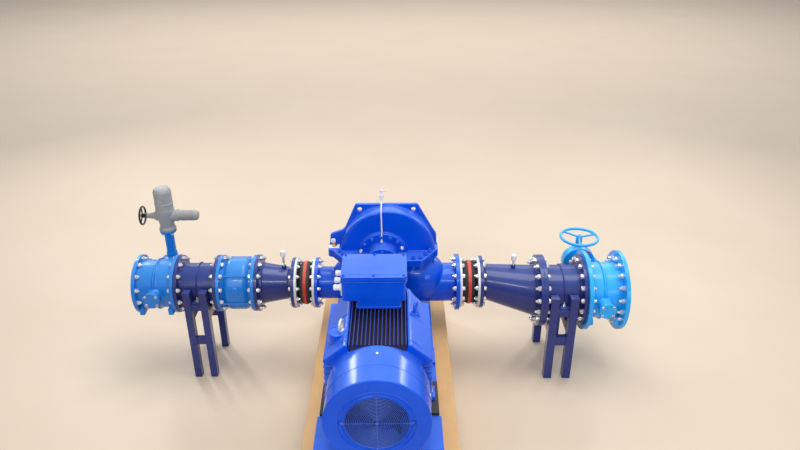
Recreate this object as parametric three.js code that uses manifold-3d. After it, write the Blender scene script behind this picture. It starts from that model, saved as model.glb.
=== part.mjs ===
// Horizontal split-case pump set with its motor, suction train and discharge train.
// Millimetres, +Z up. The origin is at floor level below the crossing of the shaft's vertical
// plane (x = 0) and the nozzle plane (y = 0). The motor is towards -Y, suction is towards +X.
import * as THREE from 'three';
import Module from 'manifold-3d';
import { mergeVertices } from 'three/addons/utils/BufferGeometryUtils.js';

const wasm = await Module();
wasm.setup();

// Heights
const GAP = 0.3;
const PLINTH_TOP = 520;
const FRAME_TOP = 700;
const PEDESTAL_TOP = 950;
const FOOT_PLANE = 975;
const NOZZLE_Z = 950;
const SUCTION_Z = 848;
const SHAFT_Z = 1330;

// Plinth and steel base
const PLINTH = { halfWidth: 635, y0: -2430, y1: 780 };
const FRAME = { outerX: 470, innerX: 370, y0: -2300, y1: 620, webY: [-1000, -420, 540], webWidth: 80 };
const PEDESTAL = { outerX: 455, innerX: 300, y0: -2280, y1: -1100, plate: 20, shelfY: -1935 };
const PAD = { x0: 300, x1: 455, y0: -1930, y1: -1560 };

// Pump casing
const DRUM = { x: 50, radius: 455, half: 105, round: 26 };
const CHAMBER = { radius: 150, half: 300 };
const COVER = { radius: 240, half: 150 };
const SPLIT = { up: 36, down: 42 };
const LIFTING_WEB = {
  y0: 30, y1: 70, top: 1800, topX: [-258, 337], waist: 1532, waistX: [-372, 486],
  ear: 1480, earX: [-510, 520], foot: 1345, footX: [-522, 528], hole: 24, inset: 40, drop: 55
};
const VENT = { x: -8, y: 50, top: 1942, rise: 38, tube: 7, tubeY: -160, bend: 40, boss: 16, bossTop: 1490 };

// Shaft line
const PUMP_SHAFT = { radius: 45, y0: -690, y1: 490 };
const MOTOR_SHAFT = { radius: 50, y0: -2300, y1: -706 };
const COUPLING = { radius: 130, hub: 80, split: -698, half: 118, rim: 42 };
const COUPLING_GUARD = { radius: 172, sheet: 4, y0: -1000, y1: -540, strap: 8, strapWidth: 50 };

// Motor
const MOTOR = {
  y0: -2045, finEnd: -1300, y1: -1100, core: 300, top: 370, side: 390, bandHalf: 222, sideTop: 230
};
const FIN = { thick: 9, topCount: 15, sideCount: 8 };
const COWL = { radius: 370, inner: 364.7, y0: -2430, y1: -2070, sheet: 5, eye: 222 };
const SPIGOT = { radius: 364.2, y: -2110 };
const FOOT = { x1: 430, nde: [-1800, -1660], de: [-1290, -1150], thick: 45 };
const BOX = { x: -35, width: 480, y0: -1595, y1: -1250, z0: 1766, z1: 1935, lid: 1978 };
const GLAND = { radius: 24, ys: [-1530, -1425, -1320], z: 1848, reach: 62 };
const EYE = {
  left: [-266, -1855, SHAFT_Z + 360], right: [277, -1600, SHAFT_Z + 345], turn: 75, ring: 34, wire: 11
};
const EYE_BOSS = { left: [-296, -1870, 0], leftRadius: 60, right: [277, -1600, 0], rightRadius: 30 };

// Pipe sizes: outside radius, bore radius, flange radius and flange thickness
const DN350 = { pipe: 178, bore: 169, flange: 260, thick: 32 };
const DN400 = { pipe: 203, bore: 194, flange: 282.5, thick: 32 };
const DN500 = { pipe: 254, bore: 245, flange: 357.5, thick: 36 };

// Suction train, faces along +X
const SUCTION = { casing: 300, pump: 750, bellows: 950, reducer: 1565, spool: 1985, valve: 2375 };
const SUCTION_PUMP_FLANGE = 280;
const SUCTION_VALVE = { flange: 398, thick: 40, barrel: 280, stemX: 2165, front: -405, rear: 392 };
const SUCTION_GEAR = { z: 865, caseX: 2060, caseZ: 925, caseRadius: 170, caseY: [402, 512], column: 70 };
const SUCTION_STAND = { xs: [1665, 1855], postY: 305, post: 80, top: 955, bars: [[740, 810], [400, 500]] };
const SUCTION_WHEEL = { x: 2050, y: 470, z: SUCTION_GEAR.z + 335, radius: 205, wire: 15 };

// Discharge train, faces along -X
const DISCHARGE = {
  casing: -230, pump: -670, bellows: -870, reducer: -1255, check: -1620, spool: -2030, valve: -2430
};
const DISCHARGE_PUMP_FLANGE = 252.5;
const DISCHARGE_VALVE = { flange: 290, thick: 34, barrel: 240, stemX: -2230, front: -335, rear: 285 };
const DISCHARGE_STAND = {
  xs: [-1745, -1905], postY: 255, post: 70, top: 1010, bars: [[800, 860], [400, 480]]
};
const ACTUATOR = { x: -2205, y: 372, z: 1525, wheelX: -2440, wheel: 100 };

const BELLOWS = { ring: 24, arch: 212, archHalf: 42, band: 18 };
const ROUND = 24;
const WIDE_ROUND = 36;
const SMALL_ROUND = 16;

// Clearance of a turning round piece at its facets' corners
const RUNNING = 0.15;
const STEM = 28;
const SUCTION_WHEEL_PIN = 14;
const ACTUATOR_WHEEL_PIN = 11;

// Turns outward any closed surface that came out facing in.
function outward(geometry) {
  const position = geometry.attributes.position;
  const index = geometry.index.array;
  const a = new THREE.Vector3();
  const b = new THREE.Vector3();
  const c = new THREE.Vector3();
  let volume = 0;
  for (let i = 0; i < index.length; i += 3) {
    a.fromBufferAttribute(position, index[i]);
    b.fromBufferAttribute(position, index[i + 1]);
    c.fromBufferAttribute(position, index[i + 2]);
    volume += a.dot(b.cross(c));
  }
  if (volume < 0) {
    for (let i = 0; i < index.length; i += 3) {
      const first = index[i];
      index[i] = index[i + 2];
      index[i + 2] = first;
    }
  }
  return geometry;
}

function solidOf(geometry) {
  const bare = geometry.clone();
  bare.deleteAttribute('normal');
  bare.deleteAttribute('uv');
  const welded = outward(mergeVertices(bare, 1e-3));
  const mesh = new wasm.Mesh({
    numProp: 3,
    vertProperties: new Float32Array(welded.attributes.position.array),
    triVerts: new Uint32Array(welded.index.array)
  });
  return new wasm.Manifold(mesh);
}

function geometryOf(solid) {
  const mesh = solid.getMesh();
  const geometry = new THREE.BufferGeometry();
  geometry.setAttribute('position', new THREE.BufferAttribute(mesh.vertProperties, 3));
  geometry.setIndex(new THREE.BufferAttribute(mesh.triVerts, 1));
  geometry.computeVertexNormals();
  return geometry;
}

function join(...solids) {
  return solids.reduce((sum, next) => sum.add(next));
}

function cut(solid, ...tools) {
  return tools.reduce((rest, tool) => rest.subtract(tool), solid);
}

function block(x0, x1, y0, y1, z0, z1) {
  const geometry = new THREE.BoxGeometry(x1 - x0, y1 - y0, z1 - z0);
  geometry.translate((x0 + x1) / 2, (y0 + y1) / 2, (z0 + z1) / 2);
  return solidOf(geometry);
}

// A turned body on a line along the given axis through the point at. Each station is
// [position along the axis, radius]; a bore gives a hollow body.
function turned(axis, at, outer, bore = null, segments = ROUND) {
  const points = outer.map(([h, r]) => new THREE.Vector2(r, h));
  if (bore) {
    for (const [h, r] of [...bore].reverse()) {
      points.push(new THREE.Vector2(r, h));
    }
    points.push(points[0].clone());
  } else {
    points.unshift(new THREE.Vector2(0, outer[0][0]));
    points.push(new THREE.Vector2(0, outer[outer.length - 1][0]));
  }
  const geometry = new THREE.LatheGeometry(points, segments);
  if (axis === 'x') {
    geometry.rotateZ(-Math.PI / 2);
  }
  if (axis === 'z') {
    geometry.rotateX(Math.PI / 2);
  }
  geometry.translate(at[0], at[1], at[2]);
  return solidOf(geometry);
}

function rod(axis, at, from, to, radius, segments = SMALL_ROUND) {
  return turned(axis, at, [[from, radius], [to, radius]], null, segments);
}

// The bore in which a faceted pin of the given radius turns freely
function boreFor(radius, segments) {
  return (radius + RUNNING) / Math.cos(Math.PI / segments);
}

// An outline in x and y, raised from z0 to z1.
function plate(outline, z0, z1) {
  const shape = new THREE.Shape(outline.map(([x, y]) => new THREE.Vector2(x, y)));
  const geometry = new THREE.ExtrudeGeometry(shape, { depth: z1 - z0, bevelEnabled: false });
  geometry.translate(0, 0, z0);
  return solidOf(geometry);
}

// An outline in x and z, run along y from y0 to y1.
function bar(outline, y0, y1) {
  const shape = new THREE.Shape(outline.map(([x, z]) => new THREE.Vector2(x, z)));
  const geometry = new THREE.ExtrudeGeometry(shape, { depth: y1 - y0, bevelEnabled: false });
  geometry.rotateX(Math.PI / 2);
  geometry.translate(0, y1, 0);
  return solidOf(geometry);
}

const assembly = new THREE.Group();

function piece(name, solid, look) {
  const material = new THREE.MeshStandardMaterial(look);
  material.name = look.name;
  const mesh = new THREE.Mesh(geometryOf(solid), material);
  mesh.name = name;
  assembly.add(mesh);
}

const COBALT = { name: 'cobalt_paint', color: 0x0b45d6, roughness: 0.35, metalness: 0 };
const NAVY = { name: 'navy_paint', color: 0x272f78, roughness: 0.4, metalness: 0 };
const SKY = { name: 'sky_paint', color: 0x1b93e8, roughness: 0.35, metalness: 0 };
const CONCRETE = { name: 'plinth_concrete', color: 0xb59a6c, roughness: 0.9, metalness: 0 };
const BLACK = { name: 'black_rubber', color: 0x16171a, roughness: 0.8, metalness: 0 };
const RED = { name: 'red_band', color: 0xd24438, roughness: 0.6, metalness: 0 };
const ZINC = { name: 'zinc_steel', color: 0xc9cdd0, roughness: 0.45, metalness: 0.9 };
const STEEL = { name: 'shaft_steel', color: 0xa9adb2, roughness: 0.35, metalness: 1 };
const IRON = { name: 'grey_iron', color: 0x55585c, roughness: 0.6, metalness: 0.6 };
const WIRE = { name: 'guard_wire', color: 0x7d8fbf, roughness: 0.4, metalness: 0.4 };
const FAN_PLASTIC = { name: 'fan_plastic', color: 0x2c3a78, roughness: 0.6, metalness: 0 };
const PALE = { name: 'pale_plastic', color: 0xe9ebee, roughness: 0.5, metalness: 0 };
const GREY = { name: 'actuator_grey', color: 0x9c9f9f, roughness: 0.5, metalness: 0 };
const BLACK_WHEEL = { name: 'black_handwheel', color: 0x1b1c1f, roughness: 0.5, metalness: 0 };

// Plinth
piece('plinth', block(-PLINTH.halfWidth, PLINTH.halfWidth, PLINTH.y0, PLINTH.y1, 0, PLINTH_TOP), CONCRETE);

// Base frame: two side beams and cross members
function baseFrame() {
  const z0 = PLINTH_TOP + GAP;
  const sides = [-1, 1].map((s) => {
    const xs = [s * FRAME.innerX, s * FRAME.outerX].sort((a, b) => a - b);
    return block(xs[0], xs[1], FRAME.y0, FRAME.y1, z0, FRAME_TOP);
  });
  const webs = [FRAME.y0, ...FRAME.webY].map((y) =>
    block(-FRAME.innerX - 5, FRAME.innerX + 5, y, y + FRAME.webWidth, z0, FRAME_TOP));
  const pumpBed = block(-FRAME.innerX - 5, FRAME.innerX + 5, -260, 260, FRAME_TOP - 40, FRAME_TOP);
  return join(...sides, ...webs, pumpBed);
}
piece('base_frame', baseFrame(), COBALT);

// Motor pedestal: two box beams, end plates, a front shelf and raised seats at the drive end
function motorPedestal() {
  const z0 = FRAME_TOP + GAP;
  const parts = [];
  for (const s of [-1, 1]) {
    const xs = [s * PEDESTAL.innerX, s * PEDESTAL.outerX].sort((a, b) => a - b);
    parts.push(block(xs[0], xs[1], PEDESTAL.y0, PEDESTAL.y1, z0, PEDESTAL_TOP));
    parts.push(block(xs[0], xs[1], FOOT.de[0] - 30, FOOT.de[1] + 30, PEDESTAL_TOP - 5, FOOT_PLANE));
  }
  const inner = PEDESTAL.innerX + 5;
  parts.push(block(-inner, inner, PEDESTAL.y0, PEDESTAL.y0 + PEDESTAL.plate, z0, PEDESTAL_TOP));
  parts.push(block(-inner, inner, PEDESTAL.y1 - PEDESTAL.plate, PEDESTAL.y1, z0, PEDESTAL_TOP));
  parts.push(block(-inner, inner, PEDESTAL.y0, PEDESTAL.shelfY, PEDESTAL_TOP - PEDESTAL.plate, PEDESTAL_TOP));
  parts.push(block(-470, 470, PEDESTAL.y0, PEDESTAL.shelfY, PEDESTAL_TOP - PEDESTAL.plate, PEDESTAL_TOP));
  return join(...parts);
}
piece('motor_pedestal', motorPedestal(), COBALT);

function motorPad(side) {
  const xs = [side * PAD.x0, side * PAD.x1].sort((a, b) => a - b);
  return block(xs[0], xs[1], PAD.y0, PAD.y1, PEDESTAL_TOP + GAP, FOOT_PLANE);
}
piece('motor_pad_left', motorPad(-1), BLACK);
piece('motor_pad_right', motorPad(1), BLACK);

// Pump casing, whole, before it is split on the shaft plane
const SHAFT_AT = [0, 0, SHAFT_Z];
const PUMP_BORE = boreFor(PUMP_SHAFT.radius, ROUND);
const MOTOR_BORE = boreFor(MOTOR_SHAFT.radius, ROUND);
const shaftBore = rod('y', SHAFT_AT, -900, 900, PUMP_BORE, ROUND);

function drum() {
  const flat = DRUM.half - DRUM.round;
  return turned('y', [DRUM.x, 0, SHAFT_Z], [
    [-DRUM.half, DRUM.radius - DRUM.round],
    [-flat - 8, DRUM.radius - 7],
    [-flat + 8, DRUM.radius],
    [flat - 8, DRUM.radius],
    [flat + 8, DRUM.radius - 7],
    [DRUM.half, DRUM.radius - DRUM.round]
  ], null, WIDE_ROUND);
}

function chambers() {
  return turned('y', SHAFT_AT, [
    [-CHAMBER.half, CHAMBER.radius],
    [-COVER.half, CHAMBER.radius],
    [-COVER.half, COVER.radius],
    [COVER.half, COVER.radius],
    [COVER.half, CHAMBER.radius],
    [CHAMBER.half, CHAMBER.radius]
  ]);
}

function splitOutline() {
  const half = [
    [-530, 74], [-485, 86], [-340, 298], [380, 298], [500, 115], [535, 70]
  ];
  return [...half.map(([x, y]) => [x, -y]), ...half.reverse()];
}

function upperCasing() {
  const z0 = SHAFT_Z + GAP;
  const whole = join(drum(), chambers());
  const room = block(-700, 800, -400, 400, z0, SHAFT_Z + 800);
  const flange = plate(splitOutline(), z0, SHAFT_Z + SPLIT.up);
  const boss = rod('z', [VENT.x, VENT.tubeY, 0], SHAFT_Z + CHAMBER.radius - 20, VENT.bossTop, VENT.boss, 12);
  return cut(join(whole.intersect(room), flange, boss, liftingWeb()), shaftBore);
}

// The flat-topped web behind the drum: a lifting hole in each top corner and a low ear at each end
function liftingWeb() {
  const { y0, y1, top, topX, waist, waistX, ear, earX, foot, footX, hole, inset, drop } = LIFTING_WEB;
  const web = bar([
    [footX[0], foot], [footX[1], foot], [earX[1], ear], [waistX[1], waist], [topX[1], top],
    [topX[0], top], [waistX[0], waist], [earX[0], ear]
  ], y0, y1);
  const holes = [topX[0] + inset, topX[1] - inset].map((x) =>
    rod('y', [x, 0, top - drop], y0 - 5, y1 + 5, hole, 12));
  return cut(web, ...holes);
}
piece('pump_upper_casing', upperCasing(), COBALT);

// Vent cock on the web's top, with a thin tube over the drum and down to the seal chamber's boss
function pumpVent() {
  const { x, y, top, rise, tube, tubeY, bend, bossTop } = VENT;
  const seat = LIFTING_WEB.top + GAP;
  const cock = turned('z', [x, y, 0], [
    [seat, 18], [seat + 14, 18], [seat + 14, 11], [seat + 60, 11], [seat + 64, 21], [seat + 92, 21],
    [seat + 96, 12], [top, 12]
  ], null, 12);
  const level = seat + rise;
  const path = new THREE.CurvePath();
  const points = [
    [y, level], [tubeY + bend, level], [tubeY, level], [tubeY, level - bend], [tubeY, bossTop + GAP]
  ].map(([py, pz]) => new THREE.Vector3(x, py, pz));
  path.add(new THREE.LineCurve3(points[0], points[1]));
  path.add(new THREE.QuadraticBezierCurve3(points[1], points[2], points[3]));
  path.add(new THREE.LineCurve3(points[3], points[4]));
  const section = new THREE.Shape();
  section.absarc(0, 0, tube, 0, 2 * Math.PI);
  const run = new THREE.ExtrudeGeometry(section, {
    steps: 16, curveSegments: 4, extrudePath: path, bevelEnabled: false
  });
  return join(cock, solidOf(run));
}
piece('pump_vent', pumpVent(), ZINC);

function nozzle(sign, centreZ, pipe, flange, faceX, rootX, flangeThick) {
  const at = [0, 0, centreZ];
  const stations = [
    [rootX, pipe], [faceX - sign * flangeThick, pipe],
    [faceX - sign * flangeThick, flange], [faceX, flange]
  ];
  return turned('x', at, sign > 0 ? stations : stations.reverse());
}

function lowerCasing() {
  const z1 = SHAFT_Z - GAP;
  const whole = join(drum(), chambers());
  const room = block(-700, 800, -400, 400, FRAME_TOP, z1);
  const flange = plate(splitOutline(), SHAFT_Z - SPLIT.down, z1);
  const bellyShape = new THREE.SphereGeometry(1, 14, 8);
  bellyShape.scale(300, 262, 262);
  bellyShape.translate(330, 0, 1030);
  const belly = solidOf(bellyShape).intersect(room);
  const throatShape = new THREE.SphereGeometry(1, 14, 8);
  throatShape.scale(240, 170, 225);
  throatShape.translate(-280, 0, 1020);
  const throat = solidOf(throatShape).intersect(room);
  const suction = nozzle(1, NOZZLE_Z, DN350.pipe + 14, SUCTION_PUMP_FLANGE, SUCTION.pump, SUCTION.casing, 38);
  const discharge = nozzle(-1, NOZZLE_Z, DN350.pipe - 18, DISCHARGE_PUMP_FLANGE, DISCHARGE.pump,
    DISCHARGE.casing, 32);
  const feet = [];
  for (const s of [-1, 1]) {
    for (const t of [-1, 1]) {
      const xs = [s * 130, s * 350].sort((a, b) => a - b);
      const ys = [t * 90, t * 235].sort((a, b) => a - b);
      feet.push(block(xs[0], xs[1], ys[0], ys[1], FRAME_TOP + GAP, FRAME_TOP + 38));
      const legX = [s * 170, s * 290].sort((a, b) => a - b);
      const legY = [t * 70, t * 190].sort((a, b) => a - b);
      feet.push(block(legX[0], legX[1], legY[0], legY[1], FRAME_TOP + 20, SHAFT_Z - 120));
    }
  }
  const solid = join(whole.intersect(room), flange, belly, throat, suction, discharge, ...feet);
  const suctionBore = turned('x', [0, 0, NOZZLE_Z], [[420, DN350.bore - 40], [500, DN350.bore],
    [SUCTION.pump + 5, DN350.bore]]);
  const dischargeBore = turned('x', [0, 0, NOZZLE_Z], [[DISCHARGE.pump - 5, DN350.bore - 18],
    [-440, DN350.bore - 18], [-380, DN350.bore - 58]]);
  return cut(solid, shaftBore, suctionBore, dischargeBore);
}
piece('pump_lower_casing', lowerCasing(), COBALT);

function bearingHousing(end) {
  const stations = [
    [CHAMBER.half + GAP, 175], [CHAMBER.half + 30, 175], [CHAMBER.half + 30, 118],
    [CHAMBER.half + 90, 105], [CHAMBER.half + 110, 128], [CHAMBER.half + 205, 128], [CHAMBER.half + 215, 96]
  ];
  const bore = [[CHAMBER.half + GAP, PUMP_BORE], [CHAMBER.half + 215, PUMP_BORE]];
  const flip = (list) => list.map(([h, r]) => [end * h, r]);
  const order = (list) => (end > 0 ? flip(list) : flip(list).reverse());
  return turned('y', SHAFT_AT, order(stations), order(bore), 24);
}
piece('bearing_housing_drive', bearingHousing(-1), COBALT);
piece('bearing_housing_free', bearingHousing(1), COBALT);

// Shaft line
piece('pump_shaft', turned('y', SHAFT_AT, [
  [PUMP_SHAFT.y0, PUMP_SHAFT.radius], [PUMP_SHAFT.y1, PUMP_SHAFT.radius]
], null, 24), STEEL);

function couplingHalf(toMotor) {
  const near = COUPLING.split - toMotor * 4;
  const far = near - toMotor * COUPLING.half;
  const bore = (toMotor > 0 ? MOTOR_SHAFT.radius : PUMP_SHAFT.radius) + 0.4;
  const rim = near - toMotor * COUPLING.rim;
  const outer = [[near, COUPLING.radius], [rim, COUPLING.radius], [rim, COUPLING.hub], [far, COUPLING.hub]];
  const inner = [[near, bore], [far, bore]];
  return toMotor > 0
    ? turned('y', SHAFT_AT, outer.reverse(), inner.reverse(), 24)
    : turned('y', SHAFT_AT, outer, inner, 24);
}
piece('coupling_pump_half', couplingHalf(-1), IRON);
piece('coupling_motor_half', couplingHalf(1), IRON);

function motorRotor() {
  const shaft = turned('y', SHAFT_AT, [
    [MOTOR_SHAFT.y0, MOTOR_SHAFT.radius - 12], [MOTOR_SHAFT.y0 + 40, MOTOR_SHAFT.radius],
    [MOTOR_SHAFT.y1, MOTOR_SHAFT.radius]
  ], null, 24);
  const hub = turned('y', SHAFT_AT, [[-2290, 78], [-2170, 95], [-2165, 250], [-2158, 250]], null, 24);
  const blades = [];
  for (let i = 0; i < 8; i += 1) {
    const shape = new THREE.BoxGeometry(225, 118, 7);
    shape.translate(178, -2217, 0);
    shape.rotateY((i * Math.PI) / 4 + 0.2);
    shape.translate(0, 0, SHAFT_Z);
    blades.push(solidOf(shape));
  }
  return join(shaft, hub, ...blades);
}
piece('motor_rotor', motorRotor(), FAN_PLASTIC);

// Coupling guard: a bent sheet whose four straps lie on the base's side beams
function couplingGuard() {
  const { radius, sheet, y0, y1, strap, strapWidth } = COUPLING_GUARD;
  const arch = (r, down) => {
    const points = [[r, down]];
    for (let i = 0; i <= 12; i += 1) {
      const a = (i * Math.PI) / 12;
      points.push([r * Math.cos(a), SHAFT_Z + r * Math.sin(a)]);
    }
    points.push([-r, down]);
    return points;
  };
  const foot = FRAME_TOP + GAP;
  const outer = bar(arch(radius, foot), y0, y1);
  const inner = bar(arch(radius - sheet, foot - 10), y0 - 5, y1 + 5);
  const straps = [];
  for (const y of [y0, y1 - strapWidth]) {
    straps.push(block(radius - sheet / 2, FRAME.innerX + 40, y, y + strapWidth, foot, foot + strap));
    straps.push(block(-FRAME.innerX - 40, -radius + sheet / 2, y, y + strapWidth, foot, foot + strap));
  }
  return join(cut(outer, inner), ...straps);
}
piece('coupling_guard', couplingGuard(), COBALT);

// Motor
function motorSection(side, top, shoulder, low) {
  return [
    [-side + 60, SHAFT_Z - low], [side - 60, SHAFT_Z - low], [side, SHAFT_Z - low + 60],
    [side, SHAFT_Z + shoulder], [MOTOR.bandHalf, SHAFT_Z + top],
    [-MOTOR.bandHalf, SHAFT_Z + top], [-side, SHAFT_Z + shoulder], [-side, SHAFT_Z - low + 60]
  ];
}

// The shoulders' outline seen from above, narrower towards the drive end
const shoulderPlan = [
  [0, MOTOR.y0], [MOTOR.side, MOTOR.y0], [MOTOR.side, -1720], [379, -1570], [368, -1490], [350, -1415],
  [318, -1368], [270, -1350], [226, MOTOR.finEnd], [0, MOTOR.finEnd]
];

function motorFrame() {
  const parts = [];
  parts.push(bar(motorSection(MOTOR.core + 15, MOTOR.core + 5, 205, 290), MOTOR.y0, MOTOR.finEnd));
  parts.push(rod('y', SHAFT_AT, MOTOR.finEnd - 5, MOTOR.y1, MOTOR.core, WIDE_ROUND));
  const shoulders = bar([
    [MOTOR.bandHalf - 40, SHAFT_Z + 260], [MOTOR.bandHalf, SHAFT_Z + MOTOR.top],
    [MOTOR.side, SHAFT_Z + MOTOR.sideTop], [MOTOR.side, SHAFT_Z + MOTOR.sideTop - 14],
    [MOTOR.core, SHAFT_Z + 180]
  ], MOTOR.y0, MOTOR.finEnd).intersect(plate(shoulderPlan, SHAFT_Z, SHAFT_Z + 400));
  parts.push(shoulders, shoulders.mirror([1, 0, 0]));
  parts.push(rod('z', EYE_BOSS.left, SHAFT_Z + 250, EYE.left[2], EYE_BOSS.leftRadius, 24));
  parts.push(rod('z', EYE_BOSS.right, SHAFT_Z + 270, EYE.right[2], EYE_BOSS.rightRadius, 12));
  for (let i = 0; i < FIN.topCount; i += 1) {
    const x = -MOTOR.bandHalf + (i * 2 * MOTOR.bandHalf) / (FIN.topCount - 1);
    const z1 = SHAFT_Z + MOTOR.top;
    parts.push(block(x - FIN.thick / 2, x + FIN.thick / 2, MOTOR.y0, MOTOR.finEnd, SHAFT_Z + 280, z1));
  }
  for (let i = 0; i < FIN.sideCount; i += 1) {
    const z = SHAFT_Z + MOTOR.sideTop - 60 - i * 52;
    parts.push(block(-MOTOR.side, MOTOR.side, MOTOR.y0, MOTOR.finEnd - 150, z, z + FIN.thick));
  }
  for (const [y0, y1] of [FOOT.nde, FOOT.de]) {
    for (const s of [-1, 1]) {
      const xs = [s * 215, s * FOOT.x1].sort((a, b) => a - b);
      const web = [s * 225, s * 392].sort((a, b) => a - b);
      parts.push(block(xs[0], xs[1], y0, y1, FOOT_PLANE + GAP, FOOT_PLANE + FOOT.thick));
      parts.push(block(web[0], web[1], y0 + 10, y1 - 10, FOOT_PLANE + 20, SHAFT_Z - 100));
    }
  }
  parts.push(turned('y', SHAFT_AT, [[SPIGOT.y, 300], [SPIGOT.y + 5, SPIGOT.radius],
    [MOTOR.y0 + 5, SPIGOT.radius]], null, WIDE_ROUND));
  const neckSeat = block(-165, 165, -1598, MOTOR.finEnd, SHAFT_Z + 280, SHAFT_Z + MOTOR.top);
  parts.push(neckSeat);
  return cut(join(...parts), rod('y', SHAFT_AT, -2200, -900, MOTOR_BORE, ROUND));
}
piece('motor_frame', motorFrame(), COBALT);

piece('motor_end_shield', turned('y', SHAFT_AT, [
  [MOTOR.y1 + GAP, 310], [MOTOR.y1 + 30, 310], [MOTOR.y1 + 60, 235], [MOTOR.y1 + 62, 150],
  [MOTOR.y1 + 85, 140]
], [[MOTOR.y1 + GAP, MOTOR_BORE], [MOTOR.y1 + 85, MOTOR_BORE]]), COBALT);

piece('fan_cowl', turned('y', SHAFT_AT, [
  [COWL.y0 + 14, COWL.eye], [COWL.y0 + 14, COWL.eye + 30], [COWL.y0, COWL.eye + 52],
  [COWL.y0, COWL.radius - 18],
  [COWL.y0 + 6, COWL.radius - 5], [COWL.y0 + 20, COWL.radius], [COWL.y1, COWL.radius]
], [
  [COWL.y0 + 14 + COWL.sheet, COWL.eye], [COWL.y0 + 14 + COWL.sheet, COWL.eye + 32],
  [COWL.y0 + COWL.sheet, COWL.eye + 54], [COWL.y0 + COWL.sheet, COWL.inner - 16],
  [COWL.y0 + 22, COWL.inner], [COWL.y1, COWL.inner]
], WIDE_ROUND), COBALT);

function fanGuard() {
  const y0 = COWL.y0 + 2;
  const y1 = y0 + 6;
  const rings = [118, COWL.eye + 16].map((r) =>
    turned('y', SHAFT_AT, [[y0, r], [y1, r]], [[y0, r - 7], [y1, r - 7]], 18));
  const boss = rod('y', SHAFT_AT, y0, y1, 24, 12);
  const spokes = [0, 1].map((i) => {
    const shape = new THREE.BoxGeometry(2 * (COWL.eye + 12), 6, 7);
    shape.translate(0, (y0 + y1) / 2, 0);
    shape.rotateY((i * Math.PI) / 2);
    shape.translate(0, 0, SHAFT_Z);
    return solidOf(shape);
  });
  const seat = turned('y', SHAFT_AT, [[y0, COWL.eye + 16], [COWL.y0 + 14 - GAP, COWL.eye + 16]],
    [[y0, COWL.eye + 8], [COWL.y0 + 14 - GAP, COWL.eye + 8]], 18);
  return join(boss, ...rings, ...spokes, seat);
}
piece('fan_guard', fanGuard(), WIRE);

// Terminal box
function terminalBox() {
  const x0 = BOX.x - BOX.width / 2;
  const body = block(x0, x0 + BOX.width, BOX.y0, BOX.y1, BOX.z0, BOX.z1);
  const neck = block(-160, 160, BOX.y0 + 5, MOTOR.finEnd - 5, SHAFT_Z + MOTOR.top + GAP, BOX.z0 + 5);
  return join(body, neck);
}
piece('terminal_box', terminalBox(), COBALT);
piece('terminal_box_lid', block(BOX.x - BOX.width / 2 - 6, BOX.x + BOX.width / 2 + 6, BOX.y0 - 6, BOX.y1 + 6,
  BOX.z1 + GAP, BOX.lid), COBALT);

function cableGlands() {
  const x1 = BOX.x - BOX.width / 2 - GAP;
  const parts = [block(x1 - 8, x1, BOX.y0 + 20, BOX.y1 - 20, GLAND.z - 50, GLAND.z + 50)];
  for (const y of GLAND.ys) {
    parts.push(turned('x', [0, y, GLAND.z], [
      [x1 - GLAND.reach, GLAND.radius - 7], [x1 - GLAND.reach + 18, GLAND.radius], [x1 - 4, GLAND.radius]
    ], null, 12));
  }
  return join(...parts);
}
piece('cable_glands', cableGlands(), PALE);

function liftingEye([x, y, seat]) {
  const ring = new THREE.TorusGeometry(EYE.ring, EYE.wire, 6, 16);
  ring.rotateX(Math.PI / 2);
  ring.rotateZ((EYE.turn * Math.PI) / 180);
  ring.translate(x, y, seat + 48);
  return join(solidOf(ring), rod('z', [x, y, 0], seat + GAP, seat + 10, 24, 12));
}
piece('lifting_eye_left', liftingEye(EYE.left), COBALT);
piece('lifting_eye_right', liftingEye(EYE.right), COBALT);

// Rubber bellows with its two backing rings and its band
function bellows(prefix, face, sign, bore, ringRadius) {
  const at = [0, 0, NOZZLE_Z];
  const along = (list) => {
    const moved = list.map(([h, r]) => [face + sign * h, r]);
    return sign > 0 ? moved : moved.reverse();
  };
  const neck = bore + 12;
  const middle = 100;
  const end = 200;
  const ringA = along([[GAP, ringRadius], [BELLOWS.ring, ringRadius]]);
  const ringAIn = along([[GAP, neck + GAP], [BELLOWS.ring, neck + GAP]]);
  piece(`${prefix}_bellows_ring_pump`, turned('x', at, ringA, ringAIn), ZINC);
  const ringB = along([[end - BELLOWS.ring, ringRadius], [end - GAP, ringRadius]]);
  const ringBIn = along([[end - BELLOWS.ring, neck + GAP], [end - GAP, neck + GAP]]);
  piece(`${prefix}_bellows_ring_pipe`, turned('x', at, ringB, ringBIn), ZINC);
  const outer = along([
    [GAP, neck], [BELLOWS.ring, neck], [BELLOWS.ring + 12, neck + 10],
    [middle - BELLOWS.archHalf, BELLOWS.arch - 8], [middle - BELLOWS.band, BELLOWS.arch],
    [middle + BELLOWS.band, BELLOWS.arch], [middle + BELLOWS.archHalf, BELLOWS.arch - 8],
    [end - BELLOWS.ring - 12, neck + 10], [end - BELLOWS.ring, neck], [end - GAP, neck]
  ]);
  const inner = along([
    [GAP, bore], [middle - BELLOWS.archHalf, bore], [middle, bore + 14], [middle + BELLOWS.archHalf, bore],
    [end - GAP, bore]
  ]);
  piece(`${prefix}_bellows`, turned('x', at, outer, inner), BLACK);
  const bandTop = BELLOWS.arch + 6;
  const bandOuter = along([[middle - BELLOWS.band + 2, bandTop], [middle + BELLOWS.band - 2, bandTop]]);
  const bandInner = along([[middle - BELLOWS.band + 2, BELLOWS.arch + GAP], [middle + BELLOWS.band - 2,
    BELLOWS.arch + GAP]]);
  piece(`${prefix}_bellows_band`, turned('x', at, bandOuter, bandInner), RED);
}
bellows('suction', SUCTION.pump, 1, DN350.bore, 255);
bellows('discharge', DISCHARGE.pump, -1, DN350.bore - 18, 250);

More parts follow.
